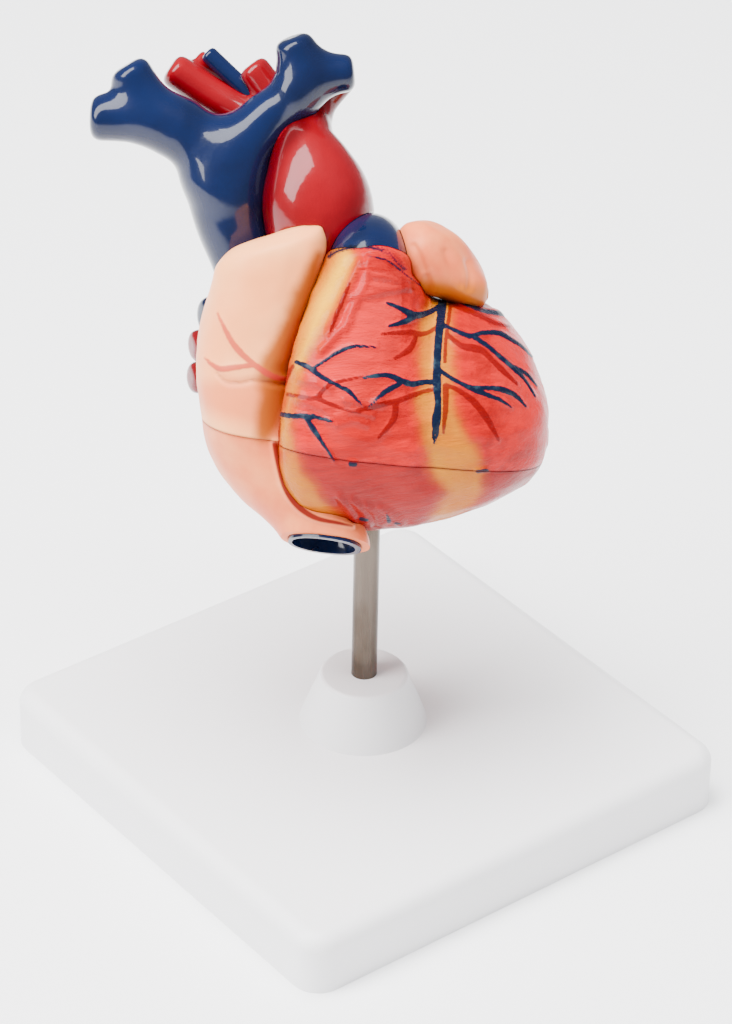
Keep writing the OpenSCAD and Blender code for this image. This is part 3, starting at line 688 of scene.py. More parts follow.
pulmonarySeat = dict(centre=(-6.2, -15.7, 31.5), way=(0.05, -0.03, 1), radius=6.9)
magnetPlaces = [(-9, 6), (24, -19), (22, 19.5)]
magnetDiameter, magnetDepth = 5, 3

# ---- Painted strokes, [u, v, half width] in the view's pixels ------------------

veinStrokes = [
    [[442, 294, 3.6], [442, 308, 4.4], [439, 334, 4], [437, 362, 3.8], [437, 384, 4.2], [438, 404, 3.2],
     [436.6, 418, 4.6], [435.5, 428, 3.4]],
    [[435.5, 428, 3], [433, 435, 1.2], [432, 439, 0.5]], [[436, 427, 3], [437, 434, 1.8], [434, 443, 0.9]],
    [[440, 306, 2.6], [428.7, 312.4, 2.8], [415.5, 315.3, 3.6], [408, 312.4, 3.4], [397, 306.8, 2.2],
     [387, 303, 1.2]],
    [[416, 315.5, 3.2], [404, 321.8, 2.8], [389.5, 325.8, 1.4]],
    [[445, 296, 1.2], [453, 298.3, 1.2], [468, 305, 2], [483, 310.6, 2.2], [500, 313.4, 2.4],
     [510, 316, 1.5]],
    [[443.7, 324.7, 1.8], [455, 330.3, 2], [470, 336, 2.6], [481.4, 333, 2.2], [498.3, 333, 2.6],
     [511.5, 339.7, 2.2],
     [522.8, 347.2, 1.6], [532, 357, 0.8]],
    [[473, 336.5, 2.4], [487, 345.4, 2.2], [500, 356.7, 2.2], [513.4, 368, 2.6], [524.6, 379.2, 1.7],
     [535.5, 397, 1]],
    [[514, 367, 2], [526.5, 373.6, 1.8], [537, 386, 0.9]],
    [[439, 369.8, 2.2], [453, 379.2, 2], [464.4, 384.9, 2.2], [473.8, 388.6, 3], [487, 387.7, 2.2],
     [502, 389.6, 3],
     [515, 395.2, 2.4], [526, 406.5, 1]],
    [[475, 390, 3], [490.8, 396.2, 2.2], [502, 400.9, 1.8], [511.5, 407.5, 0.9]],
    [[437, 382, 2.6], [425, 382, 2.6], [411.8, 384, 3.2], [400.5, 380.2, 3], [389, 375.5, 2.6],
     [377.9, 375.5, 2.2],
     [361, 378.5, 1.2]],
    [[399.5, 384, 2.4], [387.3, 390.5, 2.8], [377.9, 398, 1.8], [369.5, 406.5, 0.9]],
    [[296, 362, 2.2], [308.3, 367, 2.6], [319.6, 375.5, 2.4], [336.5, 384.9, 1.8], [347.8, 390.5, 2.4],
     [355.3, 398, 1.6],
     [361.5, 404.5, 0.8]],
    [[313, 368.5, 1.8], [325.2, 360.4, 1.6], [340.3, 351, 2], [355.3, 346.3, 1.8], [377, 347.4, 0.9]],
    [[279.5, 414, 2.4], [293.2, 416, 2.6], [310.2, 416, 2.4], [323.3, 418.7, 2], [336.5, 424, 1]],
    [[306.5, 418.5, 2.2], [314, 430, 2.8], [321.4, 441.3, 1.8], [335, 462, 0.9]],
    [[351, 463.8, 3], [355, 464, 2.6]], [[477.5, 471.5, 1.8], [487, 470.5, 1.8]],
    [[387, 514, 0.8], [389, 521, 2.4]], [[361, 519, 2], [367, 520, 1.6]], [[395, 523, 1], [400, 524, 1]],
    [[367.5, 256, 0.5], [387.3, 260.7, 0.9], [406, 274.8, 0.7], [426.8, 289.9, 0.8], [438, 297, 0.6]]]
arteryStrokes = [
    [[447.5, 291, 2.6], [450.3, 302, 1.5], [448.6, 319, 1.3], [446, 337.8, 1.3], [444.9, 362, 1.2]],
    [[445.8, 386, 2.8], [445.6, 409, 2.2], [444, 424, 1.6], [443.5, 433, 0.7]],
    [[451.3, 304, 1.6], [462.6, 308.7, 2.2], [477.6, 314.3, 2.2], [494.5, 322.8, 1.6], [509.6, 326.5, 0.8]],
    [[446.6, 334, 1.6], [460.7, 345.4, 2.2], [472, 348, 3.4], [481, 350, 2.6], [487, 354.8, 2],
     [502, 369.8, 2.4],
     [517, 384, 0.9]],
    [[445.6, 384.9, 1.6], [458.8, 390.5, 1.8], [473.8, 401.8, 2.8], [487, 418.7, 2.8], [498.5, 440, 1]],
    [[441.9, 322.8, 1.4], [430.6, 331.3, 1.6], [421.2, 334, 2], [408, 332.2, 2.2], [381.7, 334, 0.9]],
    [[415.5, 337.8, 1.6], [409.9, 349, 2.6], [394.8, 358.5, 1]],
    [[435.3, 388.6, 1.6], [415.5, 394.3, 2], [400.5, 399.9, 2.2], [370.4, 407.5, 2.2], [352, 412, 0.9]],
    [[395.8, 405.6, 2.6], [393, 420.6, 2.6], [377.9, 438.5, 0.9]],
    [[287.6, 394.3, 1.4], [302.6, 397, 1.6], [315.8, 398, 1.8], [325, 388, 1.6], [334, 383, 1.4],
     [349.7, 379.2, 1.2],
     [362.8, 376.4, 0.8]],
    [[315.8, 398, 1.6], [330, 404, 1.6], [347, 410, 1], [360, 413, 0.6]],
    [[349.7, 283, 0.8], [344, 297, 1.6], [336, 316, 1.6], [330, 332, 0.6]],
    [[293, 366, 1.4], [287, 378, 1.3], [281, 396, 1], [277, 410, 1]], [[278, 423, 2.6], [277, 442, 2.4]]]
fatStrokes = [
    [[443, 296, 10], [437, 318, 14], [436, 345, 17], [438, 375, 17], [436, 405, 19], [444, 435, 21],
     [454, 462, 26]],
    [[462, 478, 22], [462, 492, 17], [450, 508, 12], [440, 520, 8]],
    [[341, 256, 14], [333, 275, 15], [322, 300, 15], [311, 325, 13], [302, 350, 10], [296, 375, 6.5],
     [290, 400, 6],
     [284, 425, 7], [286, 445, 9]],
    [[289, 458, 8], [292, 475, 12], [303, 495, 13], [320, 511, 9], [338, 520, 5]]]
# Lit side along the groove beside the right atrium's edge: painted light over the yellow fat
litSideStrokes = [[[345, 260, 7], [333, 285, 9], [320, 312, 7], [307, 343, 3.5], [298, 366, 2]]]
# Broad soft pink patches on the ventricles: painted highlight of the soft light's gloss
sheenStrokes = [[[330, 390, 22], [345, 360, 20], [372, 300, 26]], [[520, 340, 12], [535, 420, 12]]]
# Fold lines: raised in the relief, and painted crimson as the shade of the folds
foldStrokes = [
    [[360, 262, 1], [350, 285, 2], [338, 310, 1.5], [328, 335, 1]],
    [[368, 262, 1], [366, 285, 1.5], [352, 310, 1.5], [345, 330, 1]],
    [[372, 276, 1], [390, 278, 1.5], [408, 288, 1]], [[372, 287, 1], [388, 290, 1.6], [404, 288, 1]],
    [[352, 298, 1], [372, 294, 1.6], [396, 288, 1.2], [405, 287, 0.6]],
    [[360, 268, 0.8], [385, 270, 1.3], [408, 282, 0.8]],
    [[322, 350, 1], [333, 338, 1.4], [350, 322, 1]], [[330, 420, 1], [352, 412, 1.6], [372, 415, 1]],
    [[336, 424, 1], [352, 420, 1.6], [366, 424, 1]], [[345, 400, 1], [362, 404, 1.4], [380, 402, 1]],
    [[300, 380, 1], [318, 384, 1.4], [330, 390, 1]], [[298, 400, 1], [315, 406, 1.4], [330, 412, 1]],
    [[340, 497, 1], [348, 508, 1.4], [354, 520, 1]], [[352, 500, 1], [362, 510, 1.4], [370, 522, 1]],
    [[366, 505, 1], [375, 513, 1.3], [382, 524, 1]], [[380, 508, 1], [392, 514, 1.3], [402, 522, 1]]]
atriumStrokes = [
    [[217.5, 313, 1], [223, 325, 2], [232, 342, 3], [243, 355, 3.2], [254, 364.5, 3], [268, 374, 3.2],
     [279, 378, 2.6], [292, 379, 1.6]],
    [[205, 358, 1], [212, 364.5, 2.2], [221, 369, 3], [234, 367.5, 3], [247, 366, 2.4], [258, 366, 2.2]]]
atriumGrooves = [
    [[217, 373, 0.6], [226, 381, 1.2], [240, 382.5, 1.2], [254, 380, 1], [272, 383, 1.2], [291, 384, 1.2]]]
atriumBrow = [[[322, 242, 1], [313, 266, 1], [303, 300, 1], [292, 335, 1], [276, 356, 1]]]
# Below the right atrium's crease: painted shade
belowCrease = [[[205, 396, 16], [230, 400, 20], [262, 404, 26], [285, 410, 30]]]
# Orange along the right atrium's edge toward the groove, partly paint and partly painted shade of its
# undercut; amber along the auricle's lower edge
atriumEdge = [
    [[318, 256, 4], [306, 290, 9], [297, 316, 12], [288, 344, 15], [278, 367, 18], [274, 392, 15],
     [269, 414, 12],
     [264, 434, 8]],
    [[406, 280, 4], [424, 288, 8], [440, 292, 11], [456, 295, 11], [472, 296, 10], [488, 294, 7]]]
auricleCreases = [
    [[446, 252, 0.5], [449, 262, 1], [455, 273, 1.4], [461, 284, 1]], [[427, 277, 1], [429, 287, 2]],
    [[414, 246, 0.4], [420, 258, 1], [424, 270, 0.6]], [[468, 262, 0.4], [470, 275, 0.9], [468, 288, 0.7]]]
lowerRim = [
    [[275, 444, 3], [280, 468, 3.4], [287, 490, 3.6], [299, 507, 3.2], [316, 518, 2.6], [338, 523, 1.8],
     [352, 526, 1]]]
# The arch where the blue trunk comes out of the muscle, and the stitch-like ticks along it
trunkArch = [[328, 257], [338, 251], [350, 248], [366, 247], [382, 250], [396, 260], [406, 271]]


def ticksAlong(line, count, length, slant):
    points = run(line, count)
    ticks = []
    for here, onward in zip(points[:-1], points[1:]):
        way = (onward - here) / np.linalg.norm(onward - here)
        out = np.array([way[1], -way[0]]) + way * slant
        ticks.append([[*(here - out * length * 0.4), 0.35], [*(here + out * length * 0.6), 0.25]])
    return ticks


tickStrokes = ticksAlong(trunkArch, 34, 4.5, 0.3) + [[[*p, 0.7] for p in trunkArch[:5]]]
crescentStrokes = [[[368, 254, 1.5], [380, 257, 3.6], [392, 265, 3.6], [402, 275, 1.5]]]
# The deep crimson hollow between the aorta and the blue trunk in front of it, painted as shade with a
# reflection of the dark blue beside it
hollowStrokes = [[[300, 124, 7], [284, 136, 11], [272, 155, 9], [268, 182, 6], [266, 212, 5], [266, 236, 4]]]

# ---- Paints -------------------------------------------------------------------

# Fine fibres along the heart's length over low and broad lumps
fibreTurn = (0.3, -0.1, 0.7)


def fibreBump(s):
    fine = s.noise(1500, 3, (0.1, 1, 1), fibreTurn, 0.6, 0.3)
    middling = s.noise(420, 4, (0.16, 1, 1), fibreTurn, 0.6, 0.4)
    broad = s.bump(s.noise(75, 2), 0.35, 0.0009)
    return s.bump(fine, 0.9, 0.0003, s.bump(middling, 0.8, 0.0006, broad))


def musclePaint(name, lower):
    s = Shader(name)
    wave = s.noise(900, 3)
    edge = s.math("MULTIPLY_ADD", wave, 0.5, -0.25)
    vein = s.under(s.math("ADD", s.attribute("vein"), edge), -0.06, 0.1)
    artery = s.under(s.math("ADD", s.attribute("artery"), edge), -0.02, 0.32)
    ragged = s.math("MULTIPLY_ADD", s.noise(160, 5), 3.4, -1.7)
    band = s.math("ADD", s.attribute("fat"), ragged)
    fold = s.under(s.attribute("fold"), -0.5, 2.2)
    streak = s.noise(420, 4, (0.12, 1, 1), fibreTurn)
    patch = s.noise(38, 3)
    base = s.mix(s.under(patch, 0.35, 0.65), musclePaints["deep"], musclePaints["bright"])
    base = s.mix(s.math("MULTIPLY", s.under(streak, 0.36, 0.6), 0.5), base, musclePaints["dark"])
    # Pink painted highlight over the broad soft patches of gloss
    base = s.mix(s.math("MULTIPLY", s.under(s.attribute("sheen"), -4, 10), 0.35), base, musclePaints["pink"])
    # The lower half is painted darker: painted shade, as it faces down
    if lower:
        base = s.mix(0.6, base, musclePaints["dark"])
    # Crimson along the fold lines is painted shade; along the crescent at the trunk's root it is crimson
    # paint
    base = s.mix(s.math("MULTIPLY", fold, 0.4), base, musclePaints["crimson"])
    base = s.mix(s.math("MULTIPLY", s.under(band, -1.6, 2.8), 0.85), base, musclePaints["orange"])
    core = s.math("MULTIPLY", s.under(band, -2.4, 1.0),
                  s.blend(s.under(s.noise(70, 4), 0.38, 0.62), 0.55, 0.95))
    base = s.mix(core, base, musclePaints["yellow"])
    # Bright yellow painted light on the lit side along the groove
    base = s.mix(s.math("MULTIPLY", s.under(s.attribute("edgeTint"), -2.5, 1.5), 0.85), base, musclePaints["litYellow"])
    base = s.mix(s.math("MULTIPLY", artery, 0.9), base, musclePaints["artery"])
    # Grey-teal patches on the blue painted veins: partly worn paint, partly painted sheen
    mottle = s.under(s.noise(420, 4), 0.30, 0.5)
    base = s.mix(vein, base,
                 s.mix(s.math("MULTIPLY", mottle, 0.45), musclePaints["vein"], musclePaints["veinWornSheen"]))
    base = s.mix(s.math("MULTIPLY", s.under(s.attribute("seam"), 0.1, 0.5), 0.45), base,
                 musclePaints["shadow"])
    base = s.mix(s.under(s.attribute("tick"), -0.1, 0.25), base, musclePaints["vein"])
    return s.finish(Base_Color=base, Roughness=s.blend(streak, 0.26, 0.42), Normal=fibreBump(s),
                    Coat_Weight=0.4, Coat_Roughness=0.17, Coat_IOR=1.33, Specular_IOR_Level=0.05)


musclePaints = dict(bright=(0.50, 0.004, 0.005), deep=(0.37, 0.003, 0.003), dark=(0.17, 0.002, 0.002),
                    pink=(0.75, 0.03, 0.03), crimson=(0.19, 0.001, 0.002), yellow=(0.47, 0.155, 0.0004),
                    litYellow=(0.70, 0.34, 0.0008), orange=(0.38, 0.055, 0.0006), artery=(0.14, 0.0006, 0.001),
                    vein=(0.003, 0.006, 0.020), veinWornSheen=(0.025, 0.052, 0.068), shadow=(0.07, 0.004, 0.004))
atriumPaints = dict(peach=(0.96, 0.40, 0.15), warm=(0.93, 0.31, 0.10), orange=(0.30, 0.062, 0.0006),
                    amber=(0.50, 0.125, 0.0006),
                    pink=(0.42, 0.018, 0.020), lower=(0.60, 0.075, 0.022), rim=(0.13, 0.001, 0.001),
                    shadow=(0.173, 0.045, 0.02))


def atriumPaint(name, ruddy, edgeColour="orange"):
    s = Shader(name)
    patch = s.noise(45, 3)
    base = s.mix(s.under(patch, 0.3, 0.7), atriumPaints["warm"], atriumPaints["peach"])
    # Ruddier patches: heavy on the lower halves as painted shade, as they face down, and on the auricle as
    # its patchy tone
    base = s.mix(s.math("MULTIPLY", s.under(s.noise(60, 4), 0.0, 1.2), ruddy), base, atriumPaints["lower"])
    # Darker and ruddier below the crease: painted shade
    shadeBelow = s.math("MULTIPLY", s.under(s.attribute("shadeBelow"), -3, 2.5), 0.55)
    base = s.mix(shadeBelow, base, atriumPaints["lower"])
    ragged = s.math("MULTIPLY_ADD", s.noise(130, 4), 2.4, -1.2)
    # Orange at the right atrium's edge: partly paint, partly painted shade of its undercut; amber along the
    # auricle's lower edge
    edgeTint = s.under(s.math("ADD", s.attribute("edge"), ragged), -1.8, 2.2)
    base = s.mix(s.math("MULTIPLY", edgeTint, 0.92), base, atriumPaints[edgeColour])
    wave = s.math("MULTIPLY_ADD", s.noise(700, 3), 0.5, -0.25)
    line = s.under(s.math("ADD", s.attribute("artery"), wave), -0.3, 0.3)
    base = s.mix(s.math("MULTIPLY", line, 0.8), base, atriumPaints["pink"])
    base = s.mix(s.math("MULTIPLY", s.under(s.attribute("rim"), -0.3, 0.3), 0.95), base, atriumPaints["rim"])
    base = s.mix(s.math("MULTIPLY", s.under(s.attribute("groove"), -0.2, 0.5), 0.4), base,
                 atriumPaints["shadow"])
    base = s.mix(s.math("MULTIPLY", s.under(s.attribute("seam"), 0.1, 0.6), 0.5), base,
                 atriumPaints["shadow"])
    fine = s.noise(420, 3)
    bump = s.bump(fine, 0.25, 0.00012, s.bump(s.noise(70, 2), 0.3, 0.0008))
    return s.finish(Base_Color=base, Roughness=s.blend(patch, 0.36, 0.5), Normal=bump, Coat_Weight=0.3,
                    Coat_Roughness=0.3, Coat_IOR=1.33, Specular_IOR_Level=0.1)


# Thick gloss paint: smooth with a slow wave, so that reflections have ragged edges
def glossPaint(name, colour, deep, mark=(0.001, 0.001, 0.003)):
    s = Shader(name)
    patch = s.noise(40, 3)
    base = s.mix(s.under(patch, 0.35, 0.7), deep, colour)
    # Darker crimson in the hollow: painted shade and painted reflection
    base = s.mix(s.math("MULTIPLY", s.under(s.attribute("hollow"), -1.5, 2.5), 0.85), base,
                 tuple(c * 0.4 for c in deep))
    base = s.mix(s.under(s.attribute("tick"), -0.1, 0.25), base, mark)
    slow = s.bump(s.noise(110, 3, rough=0.5), 0.5, 0.0005)
    wave = s.bump(s.noise(600, 3), 0.3, 0.00013, slow)
    return s.finish(Base_Color=base, Roughness=s.blend(patch, 0.2, 0.32), Normal=wave, Coat_Weight=1.0,
                    Coat_Roughness=0.07, Coat_IOR=1.36, Specular_IOR_Level=0.1)


def plainPaint(name, colour, deep, rough=0.5, size=60, coat=0.0, grain=0.15):
    s = Shader(name)
    base = s.mix(s.under(s.noise(size, 4), 0.3, 0.7), deep, colour)
    return s.finish(Base_Color=base, Roughness=s.blend(s.noise(size * 2, 2), rough - 0.06, rough + 0.06),
                    Normal=s.bump(s.noise(size * 8, 3), grain, 0.0003), Coat_Weight=coat, Coat_Roughness=0.2)


def steelPaint(name, colour, mottle, streak=(1, 1, 0.02)):
    s = Shader(name)
    grain = s.noise(1500, 3, streak)
    patch = s.noise(60, 4, (1, 1, 0.35))
    base = s.mix(s.under(patch, 0.38, 0.62), mottle, colour)
    return s.finish(Base_Color=base, Metallic=1.0, Roughness=s.blend(grain, 0.18, 0.34),
                    Normal=s.bump(grain, 0.15, 0.00005))


def basePaint():
    s = Shader("basePlastic")
    tone = s.mix(s.noise(12, 3), (0.80, 0.79, 0.80), (0.83, 0.82, 0.83))
    return s.finish(Base_Color=tone, Roughness=0.42, Normal=s.bump(s.noise(1400, 2), 0.06, 0.00008),
                    Coat_Weight=0.1, Coat_Roughness=0.3)


paint = dict(
    base=basePaint(),
    rod=steelPaint("rodSteel", (0.115, 0.093, 0.076), (0.06, 0.043, 0.03)),
    zinc=steelPaint("zinc", (0.7, 0.7, 0.72), (0.55, 0.55, 0.56), (1, 1, 1)),
    sleeve=plainPaint("sleeve", (0.78, 0.74, 0.66), (0.72, 0.67, 0.58)),
    # The lower muscle is the same paint in painted shade
    muscleUpper=musclePaint("muscleUpper", False), muscleLower=musclePaint("muscleLower", True),
    # The lower atrium copy is painted ruddier and darker as shade
    atriumUpper=atriumPaint("atriumUpper", 0.12), atriumLower=atriumPaint("atriumLower", 1.1),
    auricle=atriumPaint("auricle", 1.1, "amber"),
    cut=plainPaint("cutFace", (0.40, 0.020, 0.018), (0.30, 0.010, 0.009), 0.42, 90, 0.15),
    cutPale=plainPaint("cutPale", (0.80, 0.17, 0.06), (0.72, 0.12, 0.035), 0.45, 90, 0.1),
    rightLining=plainPaint("rightLining", (0.10, 0.022, 0.055), (0.06, 0.014, 0.045), 0.35, 150, 0.3, 0.6),
    leftLining=plainPaint("leftLining", (0.36, 0.012, 0.012), (0.26, 0.006, 0.006), 0.35, 150, 0.3, 0.6),
    blue=glossPaint("vesselBlue", (0.003, 0.008, 0.038), (0.002, 0.005, 0.022)),
    red=glossPaint("vesselRed", (0.19, 0.0006, 0.005), (0.12, 0.0005, 0.003)),
    cream=plainPaint("valveCream", (0.80, 0.60, 0.30), (0.70, 0.46, 0.18), 0.4, 180, 0.2),
    papillary=plainPaint("papillary", (0.62, 0.07, 0.04), (0.50, 0.035, 0.022), 0.4, 120, 0.2),
    magnet=steelPaint("magnet", (0.75, 0.75, 0.76), (0.66, 0.66, 0.68), (1, 1, 1)))


def dress(node, name):
    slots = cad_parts[node].data.materials
    slots.clear()
    slots.append(paint[name])


for node, name in (("base_plate", "base"), ("rod_socket", "base"), ("stand_rod", "rod"),
                   ("rod_washer", "zinc"), ("rod_nut", "zinc"), ("rod_sleeve", "sleeve"),
                   ("magnets_lower", "magnet"), ("magnets_upper", "magnet")):
    dress(node, name)
print("stand")

# ---- Heart --------------------------------------------------------------------

lowerHalf = (block((-far, -far, -far), (far, far, -seamGap / 2)), 1)
upperHalf = (block((-far, -far, seamGap / 2), (far, far, far)), 1)


def ventricleRelief(points, normals):
    vein = strokeGap(points, normals, veinStrokes)
    artery = strokeGap(points, normals, arteryStrokes)
    fat = strokeGap(points, normals, fatStrokes[:2])
    fold = strokeGap(points, normals, foldStrokes)
    out = 0.42 * (1 - smooth(vein, -0.5, 0.7)) + 0.28 * (1 - smooth(artery, -0.4, 0.8))
    out += 0.75 * (1 - smooth(fold, -0.4, 1.6))
    out -= 0.9 * (1 - smooth(fat, -4, 5))
    out -= 0.25 * (1 - smooth(strokeGap(points, normals, crescentStrokes), -0.6, 0.4))
    out += 0.3 * ripple(points, 16, 3) + 0.12 * ripple(points, 6, 4, stretch=(0.6, 1, 1))
    return out


def atriumRelief(points, normals):
    edge = strokeGap(points, normals, atriumBrow)
    line = strokeGap(points, normals, atriumStrokes)
    groove = strokeGap(points, normals, atriumGrooves)
    rim = strokeGap(points, normals, lowerRim)
    out = 0.7 * (1 - smooth(edge, 0, 5)) + 0.25 * (1 - smooth(line, -0.4, 0.9))
    out += 0.9 * (1 - smooth(rim, -0.3, 1.0)) - 0.55 * (1 - smooth(groove, -0.4, 1.2))
    return out + 0.25 * ripple(points, 22, 7) + 0.08 * ripple(points, 7, 8)


def liningRelief(points, normals):
    return 0.35 * ripple(points, 5, 11, stretch=(0.5, 1, 1)) + 0.25 * ripple(points, 9, 12)


def valveWay(v, grow=0.0):
    way = np.array(v["way"], float)
    way /= np.linalg.norm(way)
    centre = np.array(v["centre"], float)
    return cylinder(centre - way * 9, centre + way * 5, v["radius"] + grow, 72)


def magnetPockets():
    reach = magnetDepth + glueGap + seamGap / 2
    return [(cylinder((x, y, -reach), (x, y, reach), magnetDiameter / 2 + glueGap, 48), 1)
            for x, y in magnetPlaces]


def paintMuscle(obj):
    points, normals = meshPoints(obj)
    points, normals = toHeart(points), normals @ heartAxes
    store(obj, "vein", strokeGap(points, normals, veinStrokes))
    store(obj, "artery", strokeGap(points, normals, arteryStrokes))
    store(obj, "fat", np.minimum(strokeGap(points, normals, fatStrokes), backFat(points)))
    store(obj, "fold", strokeGap(points, normals, foldStrokes + crescentStrokes))
    store(obj, "tick", strokeGap(points, normals, tickStrokes))
    store(obj, "edgeTint", strokeGap(points, normals, litSideStrokes))
    store(obj, "sheen", strokeGap(points, normals, sheenStrokes))
    store(obj, "seam", np.abs(points[:, 2]) - seamGap / 2)


# Fat on the far side: in the groove between the ventricles and along the atria
def backFat(points):
    x, y, z = points.T
    behind = smooth(-y, -16, -10) * 20
    return np.minimum(np.abs(z + 2 + 0.25 * (x - 10)) - 4.5 + np.maximum(0, 6 - x),
                      np.abs(x + 6) - 6) + behind


def paintAtrium(obj):
    points, normals = meshPoints(obj)
    points, normals = toHeart(points), normals @ heartAxes
    store(obj, "edge", strokeGap(points, normals, atriumEdge))
    store(obj, "artery", strokeGap(points, normals, atriumStrokes))
    store(obj, "groove", strokeGap(points, normals, atriumGrooves))
    store(obj, "rim", strokeGap(points, normals, lowerRim))
    store(obj, "shadeBelow", strokeGap(points, normals, belowCrease))
    store(obj, "seam", np.abs(points[:, 2]) - seamGap / 2)


# Distance in millimetres from points to a form, less than 0 inside it
def formGap(form, points):
    tree = BVHTree.FromPolygons(form.points.tolist(), form.triangles().tolist())
    gaps = []
    for p in points:
        near, normal, _, gap = tree.find_nearest(p.tolist())
        gaps.append(gap if (Vector(p.tolist()) - near).dot(normal) > 0 else -gap)
    return np.array(gaps)


# Fillet of about k where two forms cross: each skin moves out by k h^2 / 4, h = max(k - |gap|, 0) / k
def filleted(form, gap, k=7):
    h = np.maximum(k - np.abs(gap), 0) / k
    return Form(form.points + form.normals() * (h * h * k / 4)[:, None], form.quads, form.tris)


body = eggForm(ventricleLine, True, 230, 330)
neckEnd = dict(rounded=0.3, proud=0.36)
neck = netted(*tubeField(neckRoute, **neckEnd), 0.5)
bodyFilleted = filleted(body, tubeField(neckRoute, **neckEnd)[0](body.points))
neckFilleted = filleted(neck, formGap(body, neck.points))
ventricle = formOf(carve("tool", bodyFilleted.shaped(ventricleRelief),
                         added=[neckFilleted.shaped(ventricleRelief)]))
rightAtrium = eggForm(rightAtriumLine, False, 200, 230, power=0.9).shaped(atriumRelief)
leftAtrium = eggForm(leftAtriumLine, False, 110, 200, power=0.9).shaped(
    lambda p, n: 0.3 * ripple(p, 20, 21) + 0.1 * ripple(p, 7, 22))
leftAuricle = eggForm(leftAuricleLine, True, 90, 140)
rightChamber = eggForm(rightChamberLine, True, 70, 110).shaped(liningRelief)
leftChamber = eggForm(leftChamberLine, True, 70, 110).shaped(liningRelief)
outlets = [tubes([r], 1, 0.8) for r in outletRoutes]
cavaOuter = eggForm(cavaLine, False, 30, 96, dome=0.1)
ventricleGrown, rightAtriumGrown, leftAtriumGrown = (
    f.grown(glueGap) for f in (ventricle, rightAtrium, leftAtrium))
print("forms")

hollows = ([(rightChamber, 2), (leftChamber, 3), (valveWay(tricuspid), 2), (valveWay(mitral), 3)]
           + [(outlets[0], 3), (outlets[1], 2)] + magnetPockets() + [(cavaOuter.grown(glueGap), 1)])

# The hole for the rod's sleeve, upright in the stand's frame
sleeveMouth = toHeart(np.array([[0, 0, -0.05],
                                [0, 0, (heartHeight - sleeveDepth + sleeveLength + glueGap) * mm]]))
hollows.append((cylinder(sleeveMouth[0], sleeveMouth[1], sleeveDiameter / 2 + glueGap, 64), 1))

linings = [paint["cut"], paint["rightLining"], paint["leftLining"]]
whole = carve("ventricles", ventricle, hollows, paints=[paint["muscleLower"]] + linings)
for part, half in (("lower", lowerHalf), ("upper", upperHalf)):
    obj = halved("ventricles_" + part + "_skin", whole, half, [paint["muscle" + part.capitalize()]] + linings)
    paintMuscle(obj)
    sharpen(obj, 35)
    settle(obj, "heart_" + part, "muscle_red", "ventricles_" + part)
discard(whole)

rightInner = eggForm(rightAtriumLine, False, 60, 100, grow=-atriumWall, power=0.9).shaped(liningRelief)
leftInner = eggForm(leftAtriumLine, False, 50, 90, grow=-atriumWall, power=0.9).shaped(liningRelief)
rightLining = formOf(carve("tool", rightInner, keepers=[block((-far, -far, -14), (far, far, far))]))
atria = dict(
    right=(rightAtrium,
           [(ventricleGrown, 1), (valveWay(tricuspid), 2), (cavaOuter.grown(glueGap), 1), (rightLining, 2)]),
    left=(leftAtrium, [(ventricleGrown, 1), (rightAtriumGrown, 1), (valveWay(mitral), 2), (leftInner, 2)]))
for side, (form, cutters) in atria.items():
    linings = [paint["cutPale"], paint[side + "Lining"]]
    whole = carve(side + "_atrium", form, cutters, paints=[paint["atriumLower"]] + linings)
    for part, half in (("lower", lowerHalf), ("upper", upperHalf)):
        name = side + "_atrium_" + part
        obj = halved(name + "_skin", whole, half, [paint["atrium" + part.capitalize()]] + linings)
        paintAtrium(obj)
        sharpen(obj, 35)
        settle(obj, "heart_" + part, "atrium_peach", name)
    discard(whole)

trunk = tubes([trunkRoute, rightBranchRoute, leftBranchRoute], 4, 0.7)
arch = tubes([ascendingRoute] + arteryRoutes, 3, 0.75)
upperVein = tubes([upperVeinRoute, veinRightRoute] + veinStubRoutes, 6, 0.75)
print("vessels")


def vessel(name, form, cutters, colour, slot, body="heart_upper"):
    obj = carve(name + "_skin", form, cutters, paints=[paint[colour]])
    points, normals = meshPoints(obj)
    store(obj, "tick", strokeGap(toHeart(points), normals @ heartAxes, tickStrokes))
    hollow = strokeGap(toHeart(points), normals @ heartAxes, hollowStrokes)
    store(obj, "hollow", hollow if colour == "red" else hollow + 20)
    sharpen(obj, 50)
    settle(obj, body, slot, name)


auricle = carve("left_auricle_skin", leftAuricle.shaped(auricleRelief),
                [ventricleGrown, trunk.grown(glueGap), arch.grown(glueGap)],
                paints=[paint["auricle"]])
paintAtrium(auricle)
sharpen(auricle, 50)
settle(auricle, "heart_upper", "atrium_peach", "left_auricle")
vessel("pulmonary_trunk", trunk,
       [ventricleGrown, leftAtriumGrown, rightAtriumGrown, upperVein.grown(glueGap)],
       "blue", "vessel_blue")
vessel("aorta", arch,
       [ventricleGrown, leftAtriumGrown, rightAtriumGrown, trunk.grown(glueGap), upperVein.grown(glueGap)],
       "red", "vessel_red")
vessel("superior_vena_cava", upperVein, [rightAtriumGrown, ventricleGrown], "blue", "vessel_blue")
vessel("small_vein", tubes([smallVeinRoute], 1, 0.35), [upperVein.grown(glueGap), arch.grown(glueGap)],
       "blue", "vessel_blue")
vessel("pulmonary_veins", tubes(lungVeinRoutes, 0.5, 0.55),
       [leftAtriumGrown, rightAtriumGrown, ventricleGrown, trunk.grown(glueGap)], "red", "vessel_red")

cavaWay = np.array([0, -0.49, -0.87])
cavaInner = eggForm(cavaLine, False, 30, 96, grow=-cavaWall, dome=0.1)
cavaInner.points += cavaWay * 2.2
vessel("inferior_vena_cava", cavaOuter, [cavaInner], "blue", "vessel_blue", "heart_lower")

print("inside")


